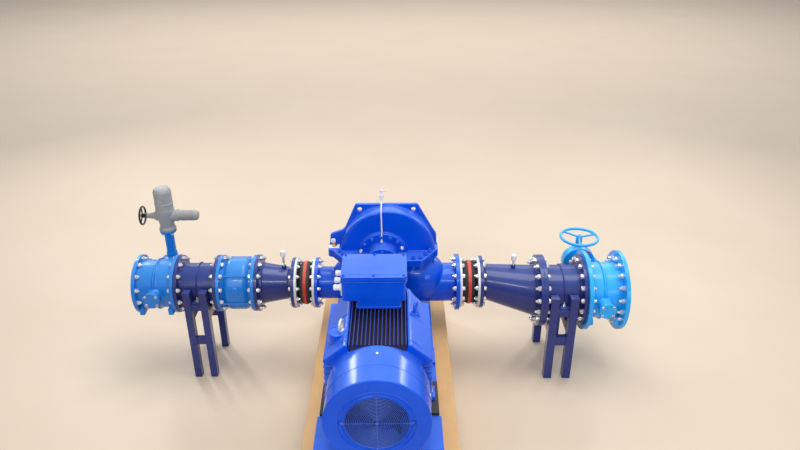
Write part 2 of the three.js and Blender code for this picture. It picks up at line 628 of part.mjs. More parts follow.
// A frustum from x0 to x1 whose centre height runs from z0 to z1
function slantedCone(x0, x1, r0, r1, z0, z1) {
  const geometry = new THREE.CylinderGeometry(r1, r0, x1 - x0, ROUND);
  geometry.rotateZ(-Math.PI / 2);
  geometry.translate((x0 + x1) / 2, 0, 0);
  const slope = (z1 - z0) / (x1 - x0);
  const shear = new THREE.Matrix4().set(1, 0, 0, 0, 0, 1, 0, 0, slope, 0, 1, z0 - slope * x0, 0, 0, 0, 1);
  geometry.applyMatrix4(shear);
  return solidOf(geometry);
}

function suctionReducer() {
  const x0 = SUCTION.bellows + GAP;
  const x1 = SUCTION.reducer - GAP;
  const coneFrom = x0 + 60;
  const coneTo = x1 - 70;
  const small = [0, 0, NOZZLE_Z];
  const large = [0, 0, SUCTION_Z];
  const outer = join(
    turned('x', small, [[x0, DN350.flange], [x0 + DN350.thick, DN350.flange]]),
    rod('x', small, x0 + 5, coneFrom + 1, DN350.pipe, ROUND),
    slantedCone(coneFrom, coneTo, DN350.pipe, DN500.pipe, NOZZLE_Z, SUCTION_Z),
    rod('x', large, coneTo - 1, x1 - 5, DN500.pipe, ROUND),
    turned('x', large, [[x1 - DN500.thick, DN500.flange], [x1, DN500.flange]]),
    rod('z', [1290, 0, 0], 1080, 1146, 22, 12)
  );
  return cut(outer,
    rod('x', small, x0 - 5, coneFrom + 1, DN350.bore, ROUND),
    slantedCone(coneFrom, coneTo, DN350.bore, DN500.bore, NOZZLE_Z, SUCTION_Z),
    rod('x', large, coneTo - 1, x1 + 5, DN500.bore, ROUND));
}
piece('suction_reducer', suctionReducer(), NAVY);

function transmitter(x, z0, height) {
  return turned('z', [x, 0, 0], [
    [z0 + GAP, 20], [z0 + 18, 20], [z0 + 18, 11], [z0 + height - 62, 11],
    [z0 + height - 58, 27], [z0 + height - 6, 27], [z0 + height, 20]
  ], null, 16);
}
piece('suction_transmitter', transmitter(1290, 1146, 112), PALE);

function flangedPipe(x0, x1, size, z) {
  const outer = [
    [x0, size.flange], [x0 + size.thick, size.flange], [x0 + size.thick, size.pipe],
    [x1 - size.thick, size.pipe], [x1 - size.thick, size.flange], [x1, size.flange]
  ];
  return turned('x', [0, 0, z], outer, [[x0, size.bore], [x1, size.bore]]);
}
piece('suction_spool', flangedPipe(SUCTION.reducer, SUCTION.spool - GAP, DN500, SUCTION_Z), NAVY);

// Stand: four posts, cross bars front and rear, and a saddle beam under the pipe
function stand(spec, pipeZ, pipeRadius) {
  const [xa, xb] = [...spec.xs].sort((a, b) => a - b);
  const h = spec.post / 2;
  const parts = [];
  const saddleTop = pipeZ - pipeRadius - GAP;
  for (const s of [-1, 1]) {
    const y = s * spec.postY;
    for (const x of [xa, xb]) {
      parts.push(block(x - h, x + h, y - h, y + h, 0, spec.top));
    }
    for (const [z0, z1] of spec.bars) {
      parts.push(block(xa, xb, y - h + 12, y + h - 12, z0, z1));
    }
  }
  parts.push(block(xa - h + 12, xa + h - 12, -spec.postY, spec.postY, saddleTop - 90, saddleTop));
  parts.push(block(xb - h + 12, xb + h - 12, -spec.postY, spec.postY, saddleTop - 90, saddleTop));
  return join(...parts);
}
piece('suction_stand', stand(SUCTION_STAND, SUCTION_Z, DN500.pipe), NAVY);

// Butterfly valve body: barrel, two flanges, stem bosses and the bore for the stem
function valveBody(x0, x1, z, spec, size) {
  const at = [0, 0, z];
  const barrel = turned('x', at, [
    [x0, spec.flange], [x0 + spec.thick, spec.flange], [x0 + spec.thick, spec.barrel],
    [x1 - spec.thick, spec.barrel], [x1 - spec.thick, spec.flange], [x1, spec.flange]
  ]);
  const stemAt = [spec.stemX, 0, z];
  const boss = turned('y', stemAt, [
    [spec.front, 84], [spec.front + 30, 84], [spec.front + 30, 66], [spec.rear - 30, 66],
    [spec.rear - 30, 90],
    [spec.rear - GAP, 90]
  ], null, 20);
  const bore = rod('x', at, x0 - 5, x1 + 5, size.bore + 1, ROUND);
  const stemBore = rod('y', stemAt, spec.front + 20, spec.rear + 20, boreFor(STEM, SMALL_ROUND));
  return cut(join(barrel, boss), bore, stemBore);
}
piece('suction_valve_body', valveBody(SUCTION.spool, SUCTION.valve, SUCTION_Z, SUCTION_VALVE, DN500), SKY);

function valveDisc(x, z, spec, radius, stemEnd) {
  const at = [x, 0, z];
  const disc = turned('x', [0, 0, z], [
    [x - 30, radius * 0.45], [x - 12, radius - 8], [x - 8, radius], [x + 8, radius], [x + 12, radius - 8],
    [x + 30, radius * 0.45]
  ]);
  return join(disc, rod('y', at, spec.front + 24, stemEnd, STEM));
}
piece('suction_valve_disc', valveDisc(SUCTION_VALVE.stemX, SUCTION_Z, SUCTION_VALVE, 237, 457), STEEL);

function suctionGearbox() {
  const at = [SUCTION_VALVE.stemX, 0, SUCTION_Z];
  const { z, caseX, caseZ, caseRadius, caseY, column } = SUCTION_GEAR;
  const housing = turned('y', [caseX, 0, caseZ], [
    [caseY[0], caseRadius], [caseY[1] - 12, caseRadius], [caseY[1], caseRadius - 14]
  ], null, 28);
  const quadrant = turned('y', at, [
    [SUCTION_VALVE.rear, 128], [SUCTION_VALVE.rear + 120, 128], [SUCTION_VALVE.rear + 132, 100]
  ], null, 24);
  const wormAt = [SUCTION_WHEEL.x, SUCTION_WHEEL.y, 0];
  const worm = turned('z', wormAt, [
    [z - 105, column - 18], [z - 95, column], [z + 210, column], [z + 220, column - 16],
    [z + 235, 36]
  ], null, 20);
  const web = block(SUCTION_WHEEL.x, SUCTION_VALVE.stemX, SUCTION_WHEEL.y - 53, SUCTION_WHEEL.y + 50,
    z - 95, z + 110);
  const stemHole = rod('y', at, SUCTION_VALVE.rear - 10, 464, boreFor(STEM, SMALL_ROUND));
  const holeRadius = boreFor(SUCTION_WHEEL_PIN, SMALL_ROUND);
  const shaftHole = rod('z', wormAt, z + 120, z + 300, holeRadius);
  return cut(join(housing, quadrant, worm, web), stemHole, shaftHole);
}
piece('suction_gearbox', suctionGearbox(), SKY);

function spokedWheel(axis, at, radius, wire, hub, spokes, start, segments) {
  const ring = new THREE.TorusGeometry(radius - wire, wire, 6, segments);
  if (axis === 'x') {
    ring.rotateY(Math.PI / 2);
  }
  ring.translate(at[0], at[1], at[2]);
  const parts = [solidOf(ring)];
  for (let i = 0; i < spokes; i += 1) {
    const length = radius - wire;
    const arm = new THREE.BoxGeometry(length, wire * 1.5, wire);
    arm.translate(length / 2, 0, 0);
    arm.rotateZ((i * 2 * Math.PI) / spokes + start);
    if (axis === 'x') {
      arm.rotateY(Math.PI / 2);
    }
    arm.translate(at[0], at[1], at[2]);
    parts.push(solidOf(arm));
  }
  parts.push(hub);
  return join(...parts);
}

function suctionHandwheel() {
  const x = SUCTION_WHEEL.x;
  const y = SUCTION_WHEEL.y;
  const z = SUCTION_WHEEL.z;
  const seat = SUCTION_GEAR.z + 241;
  const hub = turned('z', [x, y, 0], [
    [seat - 111, SUCTION_WHEEL_PIN], [seat, SUCTION_WHEEL_PIN], [seat, 34],
    [z - 12, 34], [z + 14, 22], [z + 24, 12]
  ], null, SMALL_ROUND);
  return spokedWheel('z', [x, y, z], SUCTION_WHEEL.radius, SUCTION_WHEEL.wire, hub, 3, Math.PI / 10, 28);
}
piece('suction_handwheel', suctionHandwheel(), SKY);

// Discharge train
function dischargeReducer() {
  const x0 = DISCHARGE.reducer + GAP;
  const x1 = DISCHARGE.bellows - GAP;
  const outer = turned('x', [0, 0, NOZZLE_Z], [
    [x0, DN400.flange], [x0 + DN400.thick, DN400.flange], [x0 + DN400.thick, DN400.pipe],
    [x0 + 70, DN400.pipe], [x1 - 70, DN350.pipe - 18], [x1 - DN350.thick, DN350.pipe - 18],
    [x1 - DN350.thick, DISCHARGE_PUMP_FLANGE], [x1, DISCHARGE_PUMP_FLANGE]
  ], [[x0, DN400.bore], [x0 + 70, DN400.bore], [x1 - 70, DN350.bore - 18], [x1, DN350.bore - 18]]);
  const boss = rod('z', [-985, 0, 0], NOZZLE_Z + DN350.pipe - 35, NOZZLE_Z + DN350.pipe + 22, 22, 12);
  const hollow = rod('x', [0, 0, NOZZLE_Z], -1120, -900, DN350.bore - 19, ROUND);
  return join(outer, cut(boss, hollow));
}
piece('discharge_reducer', dischargeReducer(), NAVY);
piece('discharge_transmitter', transmitter(-985, NOZZLE_Z + DN350.pipe + 22, 166), PALE);

function checkValve() {
  const x0 = DISCHARGE.check + GAP;
  const x1 = DISCHARGE.reducer;
  const t = DN400.thick;
  return turned('x', [0, 0, NOZZLE_Z], [
    [x0, DN400.flange], [x0 + t, DN400.flange], [x0 + t, 222], [x0 + 78, 236], [x0 + 100, 262],
    [x1 - 100, 262], [x1 - 78, 236], [x1 - t, 222], [x1 - t, DN400.flange], [x1, DN400.flange]
  ], [[x0, DN400.bore], [x0 + 110, 225], [x1 - 110, 225], [x1, DN400.bore]]);
}
piece('check_valve', checkValve(), SKY);
piece('discharge_spool', flangedPipe(DISCHARGE.spool + GAP, DISCHARGE.check, DN400, NOZZLE_Z), NAVY);
piece('discharge_stand', stand(DISCHARGE_STAND, NOZZLE_Z, DN400.pipe), NAVY);
piece('discharge_valve_body',
  valveBody(DISCHARGE.valve, DISCHARGE.spool, NOZZLE_Z, DISCHARGE_VALVE, DN400), SKY);
piece('discharge_valve_disc', valveDisc(DISCHARGE_VALVE.stemX, NOZZLE_Z, DISCHARGE_VALVE, 186, 345), STEEL);

function dischargeGearbox() {
  const at = [DISCHARGE_VALVE.stemX, 0, NOZZLE_Z];
  const quadrant = turned('y', at, [
    [DISCHARGE_VALVE.rear, 120], [DISCHARGE_VALVE.rear + 115, 120], [DISCHARGE_VALVE.rear + 127, 94]
  ], null, 24);
  const wormAt = [ACTUATOR.x, ACTUATOR.y, 0];
  const worm = turned('z', wormAt, [
    [NOZZLE_Z - 100, 40], [NOZZLE_Z - 90, 56], [NOZZLE_Z + 150, 56], [NOZZLE_Z + 175, 48],
    [NOZZLE_Z + 395, 48],
    [NOZZLE_Z + 395, 84], [NOZZLE_Z + 420, 84]
  ], null, 20);
  const web = block(DISCHARGE_VALVE.stemX - 40, ACTUATOR.x + 40, DISCHARGE_VALVE.rear + 20, ACTUATOR.y + 30,
    NOZZLE_Z - 80, NOZZLE_Z + 110);
  const stemHole = rod('y', at, DISCHARGE_VALVE.rear - 10, 352, boreFor(STEM, SMALL_ROUND));
  return cut(join(quadrant, worm, web), stemHole);
}
piece('discharge_gearbox', dischargeGearbox(), SKY);

function actuatorHousing() {
  const at = [ACTUATOR.x, ACTUATOR.y, 0];
  const z0 = NOZZLE_Z + 420 + GAP;
  const body = turned('z', at, [
    [z0, 84], [z0 + 24, 84], [z0 + 40, 70], [ACTUATOR.z + 50, 92], [ACTUATOR.z + 66, 92]
  ], null, 20);
  const line = [0, ACTUATOR.y, ACTUATOR.z];
  const motor = turned('x', line, [
    [ACTUATOR.x, 58], [ACTUATOR.x + 120, 58], [ACTUATOR.x + 130, 50], [ACTUATOR.x + 320, 50],
    [ACTUATOR.x + 332, 38]
  ], null, 20);
  const wheelSide = turned('x', line, [
    [ACTUATOR.wheelX + 45, 26], [ACTUATOR.x - 120, 34], [ACTUATOR.x - 90, 52], [ACTUATOR.x, 52]
  ], null, 16);
  const hole = rod('x', line, ACTUATOR.wheelX + 20, ACTUATOR.wheelX + 125,
    boreFor(ACTUATOR_WHEEL_PIN, SMALL_ROUND));
  return cut(join(body, motor, wheelSide), hole);
}
piece('actuator_housing', actuatorHousing(), GREY);
piece('actuator_controls', turned('z', [ACTUATOR.x, ACTUATOR.y, 0], [
  [ACTUATOR.z + 66 + GAP, 92], [ACTUATOR.z + 270, 92], [ACTUATOR.z + 300, 76], [ACTUATOR.z + 312, 45]
], null, 24), GREY);

function actuatorHandwheel() {
  const x = ACTUATOR.wheelX;
  const at = [x, ACTUATOR.y, ACTUATOR.z];
  const hub = turned('x', [0, ACTUATOR.y, ACTUATOR.z], [
    [x - 14, 20], [x + 30, 24], [x + 30, ACTUATOR_WHEEL_PIN], [x + 115, ACTUATOR_WHEEL_PIN]
  ], null, SMALL_ROUND);
  return spokedWheel('x', at, ACTUATOR.wheel, 10, hub, 3, Math.PI / 2, 20);
}
piece('actuator_handwheel', actuatorHandwheel(), BLACK_WHEEL);

export default assembly;
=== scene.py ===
import math

import bmesh
import bpy
from mathutils import Matrix, Vector


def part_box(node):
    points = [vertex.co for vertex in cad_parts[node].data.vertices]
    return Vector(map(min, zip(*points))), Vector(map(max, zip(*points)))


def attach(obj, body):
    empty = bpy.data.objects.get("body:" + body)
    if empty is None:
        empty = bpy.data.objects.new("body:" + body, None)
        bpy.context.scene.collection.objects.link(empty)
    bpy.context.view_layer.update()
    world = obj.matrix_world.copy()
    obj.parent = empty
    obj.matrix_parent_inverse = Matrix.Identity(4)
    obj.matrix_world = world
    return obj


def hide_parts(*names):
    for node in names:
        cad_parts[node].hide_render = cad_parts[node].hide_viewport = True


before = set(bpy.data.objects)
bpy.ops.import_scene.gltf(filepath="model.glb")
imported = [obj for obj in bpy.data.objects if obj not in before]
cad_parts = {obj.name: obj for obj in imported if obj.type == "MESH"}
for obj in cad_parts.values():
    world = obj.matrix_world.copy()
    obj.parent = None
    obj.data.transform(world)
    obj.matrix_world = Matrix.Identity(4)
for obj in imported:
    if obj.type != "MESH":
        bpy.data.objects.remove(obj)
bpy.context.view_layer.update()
scene = bpy.context.scene
mm = 0.001
print("frame loaded:", len(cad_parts), "nodes")

# Camera: lens and place worked out from the photograph
view = {"lens": 31.5, "sheenAndRubColour": 36.0, "place": (0.1455, -6.008, 4.653), "down": 27.0, "right": 0.21, "roll": -0.2}


def makeCamera():
    down, right, roll = (math.radians(view[key]) for key in ("down", "right", "roll"))
    forward = Vector((math.sin(right) * math.cos(down), math.cos(right) * math.cos(down), -math.sin(down)))
    side = forward.cross(Vector((0, 0, 1))).normalized()
    up = side.cross(forward)
    rolledSide = side * math.cos(roll) + up * math.sin(roll)
    rolledUp = up * math.cos(roll) - side * math.sin(roll)
    data = bpy.data.cameras.new("photoCamera")
    data.lens = view["lens"]
    data.sensor_width = view["sheenAndRubColour"]
    data.clip_end = 200.0
    camera = bpy.data.objects.new("photoCamera", data)
    scene.collection.objects.link(camera)
    camera.matrix_world = Matrix.Translation(view["place"]) @ Matrix(
        (rolledSide, rolledUp, -forward)).transposed().to_4x4()
    scene.camera = camera


makeCamera()
scene.view_settings.view_transform = "Standard"


# Nodes: a socket's value is either a number or another node's output
def setOrLink(socket, value):
    if hasattr(value, "is_output"):
        value.id_data.links.new(value, socket)
    else:
        socket.default_value = value


def addNode(tree, kind, plain=None, **sockets):
    node = tree.nodes.new(kind)
    for key, value in (plain or {}).items():
        setattr(node, key, value)
    for label, value in sockets.items():
        setOrLink(node.inputs[label.replace("_", " ")], value)
    return node


def flow(tree, kind, plain=None, **sockets):
    return addNode(tree, kind, plain, **sockets).outputs[0]


def doMath(tree, operation, first, second):
    node = addNode(tree, "ShaderNodeMath", {"operation": operation})
    setOrLink(node.inputs[0], first)
    setOrLink(node.inputs[1], second)
    return node.outputs[0]


def times(tree, first, second):
    return doMath(tree, "MULTIPLY", first, second)


def startTree(name, kind, inputs, outputs):
    tree = bpy.data.node_groups.new(name, kind)
    for label, socketKind, value in inputs:
        socket = tree.interface.new_socket(name=label, in_out="INPUT", socket_type="NodeSocket" + socketKind)
        if value is not None:
            socket.default_value = value
    for label, socketKind in outputs:
        tree.interface.new_socket(name=label, in_out="OUTPUT", socket_type="NodeSocket" + socketKind)
    return tree, tree.nodes.new("NodeGroupInput").outputs, tree.nodes.new("NodeGroupOutput").inputs


def noiseNode(tree, coordinates, size, detail=4.0, roughness=0.5, stretch=None):
    if stretch:
        coordinates = flow(tree, "ShaderNodeMapping", Scale=stretch, Vector=coordinates)
    return flow(tree, "ShaderNodeTexNoise", Detail=detail, Roughness=roughness, Scale=size, Vector=coordinates)


def mapRange(tree, value, low, high, toLow=0.0, toHigh=1.0):
    return flow(tree, "ShaderNodeMapRange", {"clamp": True}, From_Min=low, From_Max=high, To_Min=toLow,
                To_Max=toHigh, Value=value)


def mixColour(tree, mask, first, second):
    node = addNode(tree, "ShaderNodeMix", {"data_type": "RGBA"})
    for place, value in ((0, mask), (6, first), (7, second)):
        setOrLink(node.inputs[place], value)
    return node.outputs[2]


def rgba(red, green, blue):
    return (red, green, blue, 1.0)


atOrigin = ("Vector", "Vector", (0, 0, 0))


# Pale colour on faces that look up, in patches: painted top light, with some settled dust
def makeTopSheenDustGroup():
    group, given, result = startTree("topSheenAndDust", "ShaderNodeTree", [
        atOrigin, ("Amount", "Float", 0.4), ("Patch Size", "Float", 3.0)], [("Mask", "Float")])
    normal = addNode(group, "ShaderNodeNewGeometry").outputs["Normal"]
    split = addNode(group, "ShaderNodeSeparateXYZ", Vector=normal)
    upward = mapRange(group, split.outputs["Z"], 0.35, 0.97)
    patches = noiseNode(group, given["Vector"], given["Patch Size"], 5.0, 0.6)
    broken = mapRange(group, patches, 0.3, 0.7, 0.65, 1.0)
    setOrLink(result["Mask"], times(group, times(group, upward, broken), given["Amount"]))
    return group


# Slow drift of colour and gloss over a painted or moulded surface
def makeDriftGroup():
    group, given, result = startTree("colourDrift", "ShaderNodeTree", [
        atOrigin, ("Colour", "Color", rgba(1, 1, 1)), ("Shade", "Color", rgba(0.5, 0.5, 0.5)),
        ("Scale", "Float", 2.0), ("Amount", "Float", 0.5)], [("Colour", "Color"), ("Gloss", "Float")])
    broad = noiseNode(group, given["Vector"], given["Scale"], 6.0, 0.55)
    amount = times(group, mapRange(group, broad, 0.35, 0.7), given["Amount"])
    setOrLink(result["Colour"], mixColour(group, amount, given["Colour"], given["Shade"]))
    setOrLink(result["Gloss"], broad)
    return group


# Rubbed lighter paint on sharp outer edges, and darker colour in inner corners
def makeEdgeGroup():
    group, given, result = startTree("edgeRub", "ShaderNodeTree", [
        atOrigin, ("Rub", "Float", 0.3), ("Grime", "Float", 0.4)], [("Rub", "Float"), ("Grime", "Float")])
    point = addNode(group, "ShaderNodeNewGeometry").outputs["Pointiness"]
    breakUp = mapRange(group, noiseNode(group, given["Vector"], 14.0, 6.0, 0.65), 0.4, 0.62)
    outer = times(group, mapRange(group, point, 0.53, 0.62), breakUp)
    setOrLink(result["Rub"], times(group, outer, given["Rub"]))
    setOrLink(result["Grime"], times(group, mapRange(group, point, 0.48, 0.40), given["Grime"]))
    return group


# Sprayed paint's orange peel over the casting's own lumps
def makePeelGroup():
    group, given, result = startTree("sprayedSkin", "ShaderNodeTree", [
        atOrigin, ("Peel", "Float", 0.3), ("Lumps", "Float", 0.5), ("Lump Size", "Float", 45.0)],
        [("Height", "Float")])
    peel = times(group, noiseNode(group, given["Vector"], 420.0, 2.0), given["Peel"])
    lumps = times(group, noiseNode(group, given["Vector"], given["Lump Size"], 3.0), given["Lumps"])
    setOrLink(result["Height"], doMath(group, "ADD", peel, lumps))
    return group


# Zinc's crystal spangle
def makeSpangleGroup():
    group, given, result = startTree("zincSpangle", "ShaderNodeTree", [
        atOrigin, ("Scale", "Float", 70.0), ("Colour", "Color", rgba(1, 1, 1)),
        ("Shade", "Color", rgba(0.6, 0.6, 0.6))], [("Colour", "Color"), ("Gloss", "Float")])
    cells = addNode(group, "ShaderNodeTexVoronoi", Vector=given["Vector"], Scale=given["Scale"])
    red = flow(group, "ShaderNodeSeparateColor", Color=cells.outputs["Color"])
    cloud = noiseNode(group, given["Vector"], 9.0, 5.0)
    mask = times(group, red, mapRange(group, cloud, 0.3, 0.7, 0.35, 1.0))
    setOrLink(result["Colour"], mixColour(group, mask, given["Colour"], given["Shade"]))
    setOrLink(result["Gloss"], mask)
    return group


groups = {"dust": makeTopSheenDustGroup(), "drift": makeDriftGroup(), "edge": makeEdgeGroup(), "peel": makePeelGroup(),
          "spangle": makeSpangleGroup()}


def useGroup(tree, key, coordinates, **values):
    return addNode(tree, "ShaderNodeGroup", {"node_tree": groups[key]}, Vector=coordinates, **values).outputs


def startMaterial(name, plain):
    material = bpy.data.materials.new(name)
    material.use_nodes = True
    tree = material.node_tree
    tree.nodes.clear()
    shader = addNode(tree, "ShaderNodeBsdfPrincipled", **plain)
    addNode(tree, "ShaderNodeOutputMaterial", Surface=shader.outputs["BSDF"])
    return material, tree, shader.inputs, addNode(tree, "ShaderNodeTexCoord").outputs["Object"]


def addBump(tree, shader, height, strength, distance):
    bump = flow(tree, "ShaderNodeBump", Strength=strength, Distance=distance, Height=height)
    setOrLink(shader["Normal"], bump)


# Gloss paints, each with its colour, its shade in the drifts, its pale colour for tops and rubbed edges
# (painted top light with some dust on tops) and its feel
def paint(colour, shade, sheenAndRubColour, tint=(1.0, 1.0, 1.0), **feel):
    return {"colour": rgba(*colour), "shade": rgba(*shade), "sheenAndRubColour": rgba(*sheenAndRubColour), "tint": rgba(*tint), **feel}


paints = {
    "cobaltPaint": paint((0.0, 0.08, 0.7), (0.0, 0.052, 0.54), (0.1, 0.235, 0.78), (0.3, 0.6, 1.0), dust=0.55,
                         rough=0.25, coat=0.3, lumps=0.5, rub=0.25, grime=0.55),
    # top fins: the cobalt darkened, as painted shade among the fins
    "shadedFinPaint": paint((0.003, 0.026, 0.3), (0.002, 0.01, 0.12), (0.06, 0.085, 0.3), dust=0.6, rough=0.35,
                      coat=0.05, lumps=0.4, rub=0.6, grime=0.8),
    # dark floor between the top fins: painted shade in the fin gaps, with brown dust
    "finGapShadeAndDust": paint((0.014, 0.015, 0.05), (0.008, 0.01, 0.03), (0.08, 0.06, 0.085), dust=0.75, rough=0.7,
                     coat=0.0, lumps=0.8, rub=0.0, grime=0.3),
    "navyPaint": paint((0.014, 0.028, 0.19), (0.009, 0.016, 0.12), (0.07, 0.115, 0.36), dust=0.5, rough=0.29,
                       coat=0.4, lumps=0.3, rub=0.35, grime=0.55),
    "skyPaint": paint((0.01, 0.39, 0.9), (0.005, 0.28, 0.77), (0.12, 0.55, 0.9), dust=0.5, rough=0.25,
                      coat=0.3, lumps=0.55, rub=0.2, grime=0.5),
    # the sky paint darkened for the discharge side: painted shade, for that side stands in less light
    "shadedSkyPaint": paint((0.008, 0.21, 0.68), (0.004, 0.14, 0.52), (0.09, 0.36, 0.78), dust=0.5, rough=0.25,
                          coat=0.3, lumps=0.55, rub=0.2, grime=0.6),
    "guardPaint": paint((0.05, 0.13, 0.66), (0.025, 0.06, 0.4), (0.22, 0.36, 0.95), dust=0.5, rough=0.35,
                        coat=0.1, lumps=0.1, rub=0.3, grime=0.2),
    "fanPlastic": paint((0.009, 0.02, 0.13), (0.004, 0.009, 0.06), (0.06, 0.08, 0.2), dust=0.4, rough=0.5,
                        coat=0.0, lumps=0.2, rub=0.1, grime=0.3),
    "actuatorGrey": paint((0.33, 0.345, 0.35), (0.22, 0.23, 0.235), (0.5, 0.5, 0.49), dust=0.45, rough=0.4,
                          coat=0.1, lumps=0.45, rub=0.3, grime=0.6),
    "blackWheel": paint((0.011, 0.012, 0.014), (0.006, 0.006, 0.007), (0.08, 0.08, 0.08), dust=0.4, rough=0.35,
                        coat=0.2, lumps=0.2, rub=0.5, grime=0.2),
    "greyIron": paint((0.09, 0.1, 0.11), (0.05, 0.052, 0.055), (0.2, 0.19, 0.17), dust=0.4, rough=0.55,
                      coat=0.0, lumps=0.9, rub=0.5, grime=0.5),
    "palePlastic": paint((0.8, 0.81, 0.82), (0.66, 0.66, 0.65), (0.9, 0.9, 0.88), dust=0.25, rough=0.42,
                         coat=0.1, lumps=0.15, rub=0.0, grime=0.6),
    "redBand": paint((0.66, 0.05, 0.035), (0.42, 0.03, 0.022), (0.85, 0.2, 0.15), dust=0.5, rough=0.45,
                     coat=0.1, lumps=0.3, rub=0.3, grime=0.6),
}


def makePaint(name):
    look = paints[name]
    material, tree, shader, at = startMaterial(name, {
        "Coat_Roughness": 0.12, "IOR": 1.5, "Specular_IOR_Level": 0.28, "Coat_Weight": look["coat"],
        "Specular_Tint": look["tint"]})
    drift = useGroup(tree, "drift", at, Colour=look["colour"], Shade=look["shade"], Scale=2.4, Amount=0.7)
    edge = useGroup(tree, "edge", at, Rub=look["rub"], Grime=look["grime"])
    # pale colour on faces that look up: painted top light, with some settled dust
    dust = useGroup(tree, "dust", at, Amount=look["dust"], Patch_Size=3.2)["Mask"]
    # darker colour in inner corners
    cornerDarkened = mixColour(tree, edge["Grime"], drift["Colour"], rgba(0.03, 0.025, 0.02))
    rubbed = mixColour(tree, edge["Rub"], cornerDarkened, look["sheenAndRubColour"])
    setOrLink(shader["Base Color"], mixColour(tree, dust, rubbed, look["sheenAndRubColour"]))
    gloss = mapRange(tree, drift["Gloss"], 0.3, 0.7, look["rough"] - 0.05, look["rough"] + 0.08)
    setOrLink(shader["Roughness"], doMath(tree, "ADD", gloss, times(tree, dust, 0.22)))
    peel = useGroup(tree, "peel", at, Peel=0.25, Lumps=look["lumps"], Lump_Size=38.0)
    addBump(tree, shader, peel["Height"], 0.35, 0.0012)
    return material


# Metals: bolts, galvanised rings and turned shafts
def metal(colour, shade, scale, rough, metallic, lines=None):
    return {"colour": rgba(*colour), "shade": rgba(*shade), "scale": scale, "rough": rough, "metal": metallic,
            "lines": lines}


metals = {
    "zincBolts": metal((0.84, 0.84, 0.85), (0.6, 0.6, 0.63), scale=30.0, rough=0.26, metallic=0.75),
    "galvanised": metal((0.74, 0.75, 0.75), (0.58, 0.59, 0.6), scale=90.0, rough=0.45, metallic=0.4),
    "shaftSteel": metal((0.62, 0.63, 0.65), (0.45, 0.45, 0.46), scale=16.0, rough=0.28, metallic=1.0,
                        lines=(4.0, 900.0, 4.0)),
    "discSteel": metal((0.55, 0.57, 0.58), (0.38, 0.38, 0.37), scale=20.0, rough=0.36, metallic=0.9,
                       lines=(700.0, 6.0, 6.0)),
    "brass": metal((0.8, 0.42, 0.14), (0.55, 0.26, 0.08), scale=40.0, rough=0.33, metallic=0.9),
}


def makeMetal(name):
    look = metals[name]
    material, tree, shader, at = startMaterial(name, {"Metallic": look["metal"]})
    spangle = useGroup(tree, "spangle", at, Scale=look["scale"], Colour=look["colour"], Shade=look["shade"])
    # darker colour in inner corners
    grime = useGroup(tree, "edge", at, Rub=0.0, Grime=0.5)["Grime"]
    setOrLink(shader["Base Color"], mixColour(tree, grime, spangle["Colour"], rgba(0.12, 0.1, 0.08)))
    gloss = mapRange(tree, spangle["Gloss"], 0.0, 1.0, look["rough"], look["rough"] + 0.16)
    setOrLink(shader["Roughness"], gloss)
    lines = look["lines"]
    height = noiseNode(tree, at, 1.0, 3.0, 0.6, lines) if lines else noiseNode(tree, at, 160.0)
    addBump(tree, shader, height, 0.25, 0.0006)
    return material


# Moulded rubber with a fine cloth print and a pale grey on faces that look up: painted top light, with some
# dusty bloom
def makeRubber():
    material, tree, shader, at = startMaterial("moldedRubber", {"IOR": 1.45})
    drift = useGroup(tree, "drift", at, Colour=rgba(0.016, 0.016, 0.018), Shade=rgba(0.04, 0.038, 0.036),
                     Scale=7.0, Amount=0.8)
    # pale grey on faces that look up: painted top light, with some dust
    dust = useGroup(tree, "dust", at, Amount=0.22, Patch_Size=6.0)["Mask"]
    setOrLink(shader["Base Color"], mixColour(tree, dust, drift["Colour"], rgba(0.14, 0.135, 0.125)))
    setOrLink(shader["Roughness"], mapRange(tree, drift["Gloss"], 0.3, 0.7, 0.55, 0.78))
    clothPrint = noiseNode(tree, at, 260.0, 3.0)
    addBump(tree, shader, clothPrint, 0.4, 0.0008)
    return material


# Painted concrete: tan floor coating with pits, trowel marks, scuffs and a dirty foot
def makeConcrete():
    material, tree, shader, at = startMaterial("coatedConcrete", {"IOR": 1.48})
    drift = useGroup(tree, "drift", at, Colour=rgba(0.78, 0.45, 0.165), Shade=rgba(0.63, 0.36, 0.13), Scale=1.6,
                     Amount=0.8)
    scuff = mapRange(tree, noiseNode(tree, at, 9.0, 8.0, 0.7, (1.0, 0.35, 2.2)), 0.58, 0.72, 0.0, 0.4)
    scuffed = mixColour(tree, scuff, drift["Colour"], rgba(0.82, 0.56, 0.27))
    height = addNode(tree, "ShaderNodeSeparateXYZ", Vector=at).outputs["Z"]
    splash = noiseNode(tree, at, 11.0, 5.0, 0.6)
    foot = times(tree, mapRange(tree, height, 0.12, 0.0), splash)
    footed = mixColour(tree, foot, scuffed, rgba(0.2, 0.14, 0.09))
    rub = useGroup(tree, "edge", at, Rub=0.5, Grime=0.3)["Rub"]
    setOrLink(shader["Base Color"], mixColour(tree, rub, footed, rgba(0.6, 0.55, 0.47)))
    setOrLink(shader["Roughness"], mapRange(tree, drift["Gloss"], 0.3, 0.7, 0.42, 0.62))
    pits = flow(tree, "ShaderNodeTexVoronoi", Scale=34.0, Vector=at)
    pitted = times(tree, mapRange(tree, pits, 0.0, 0.09), 0.35)
    trowel = noiseNode(tree, at, 5.0, 7.0, 0.6)
    addBump(tree, shader, doMath(tree, "ADD", pitted, trowel), 0.5, 0.004)
    return material


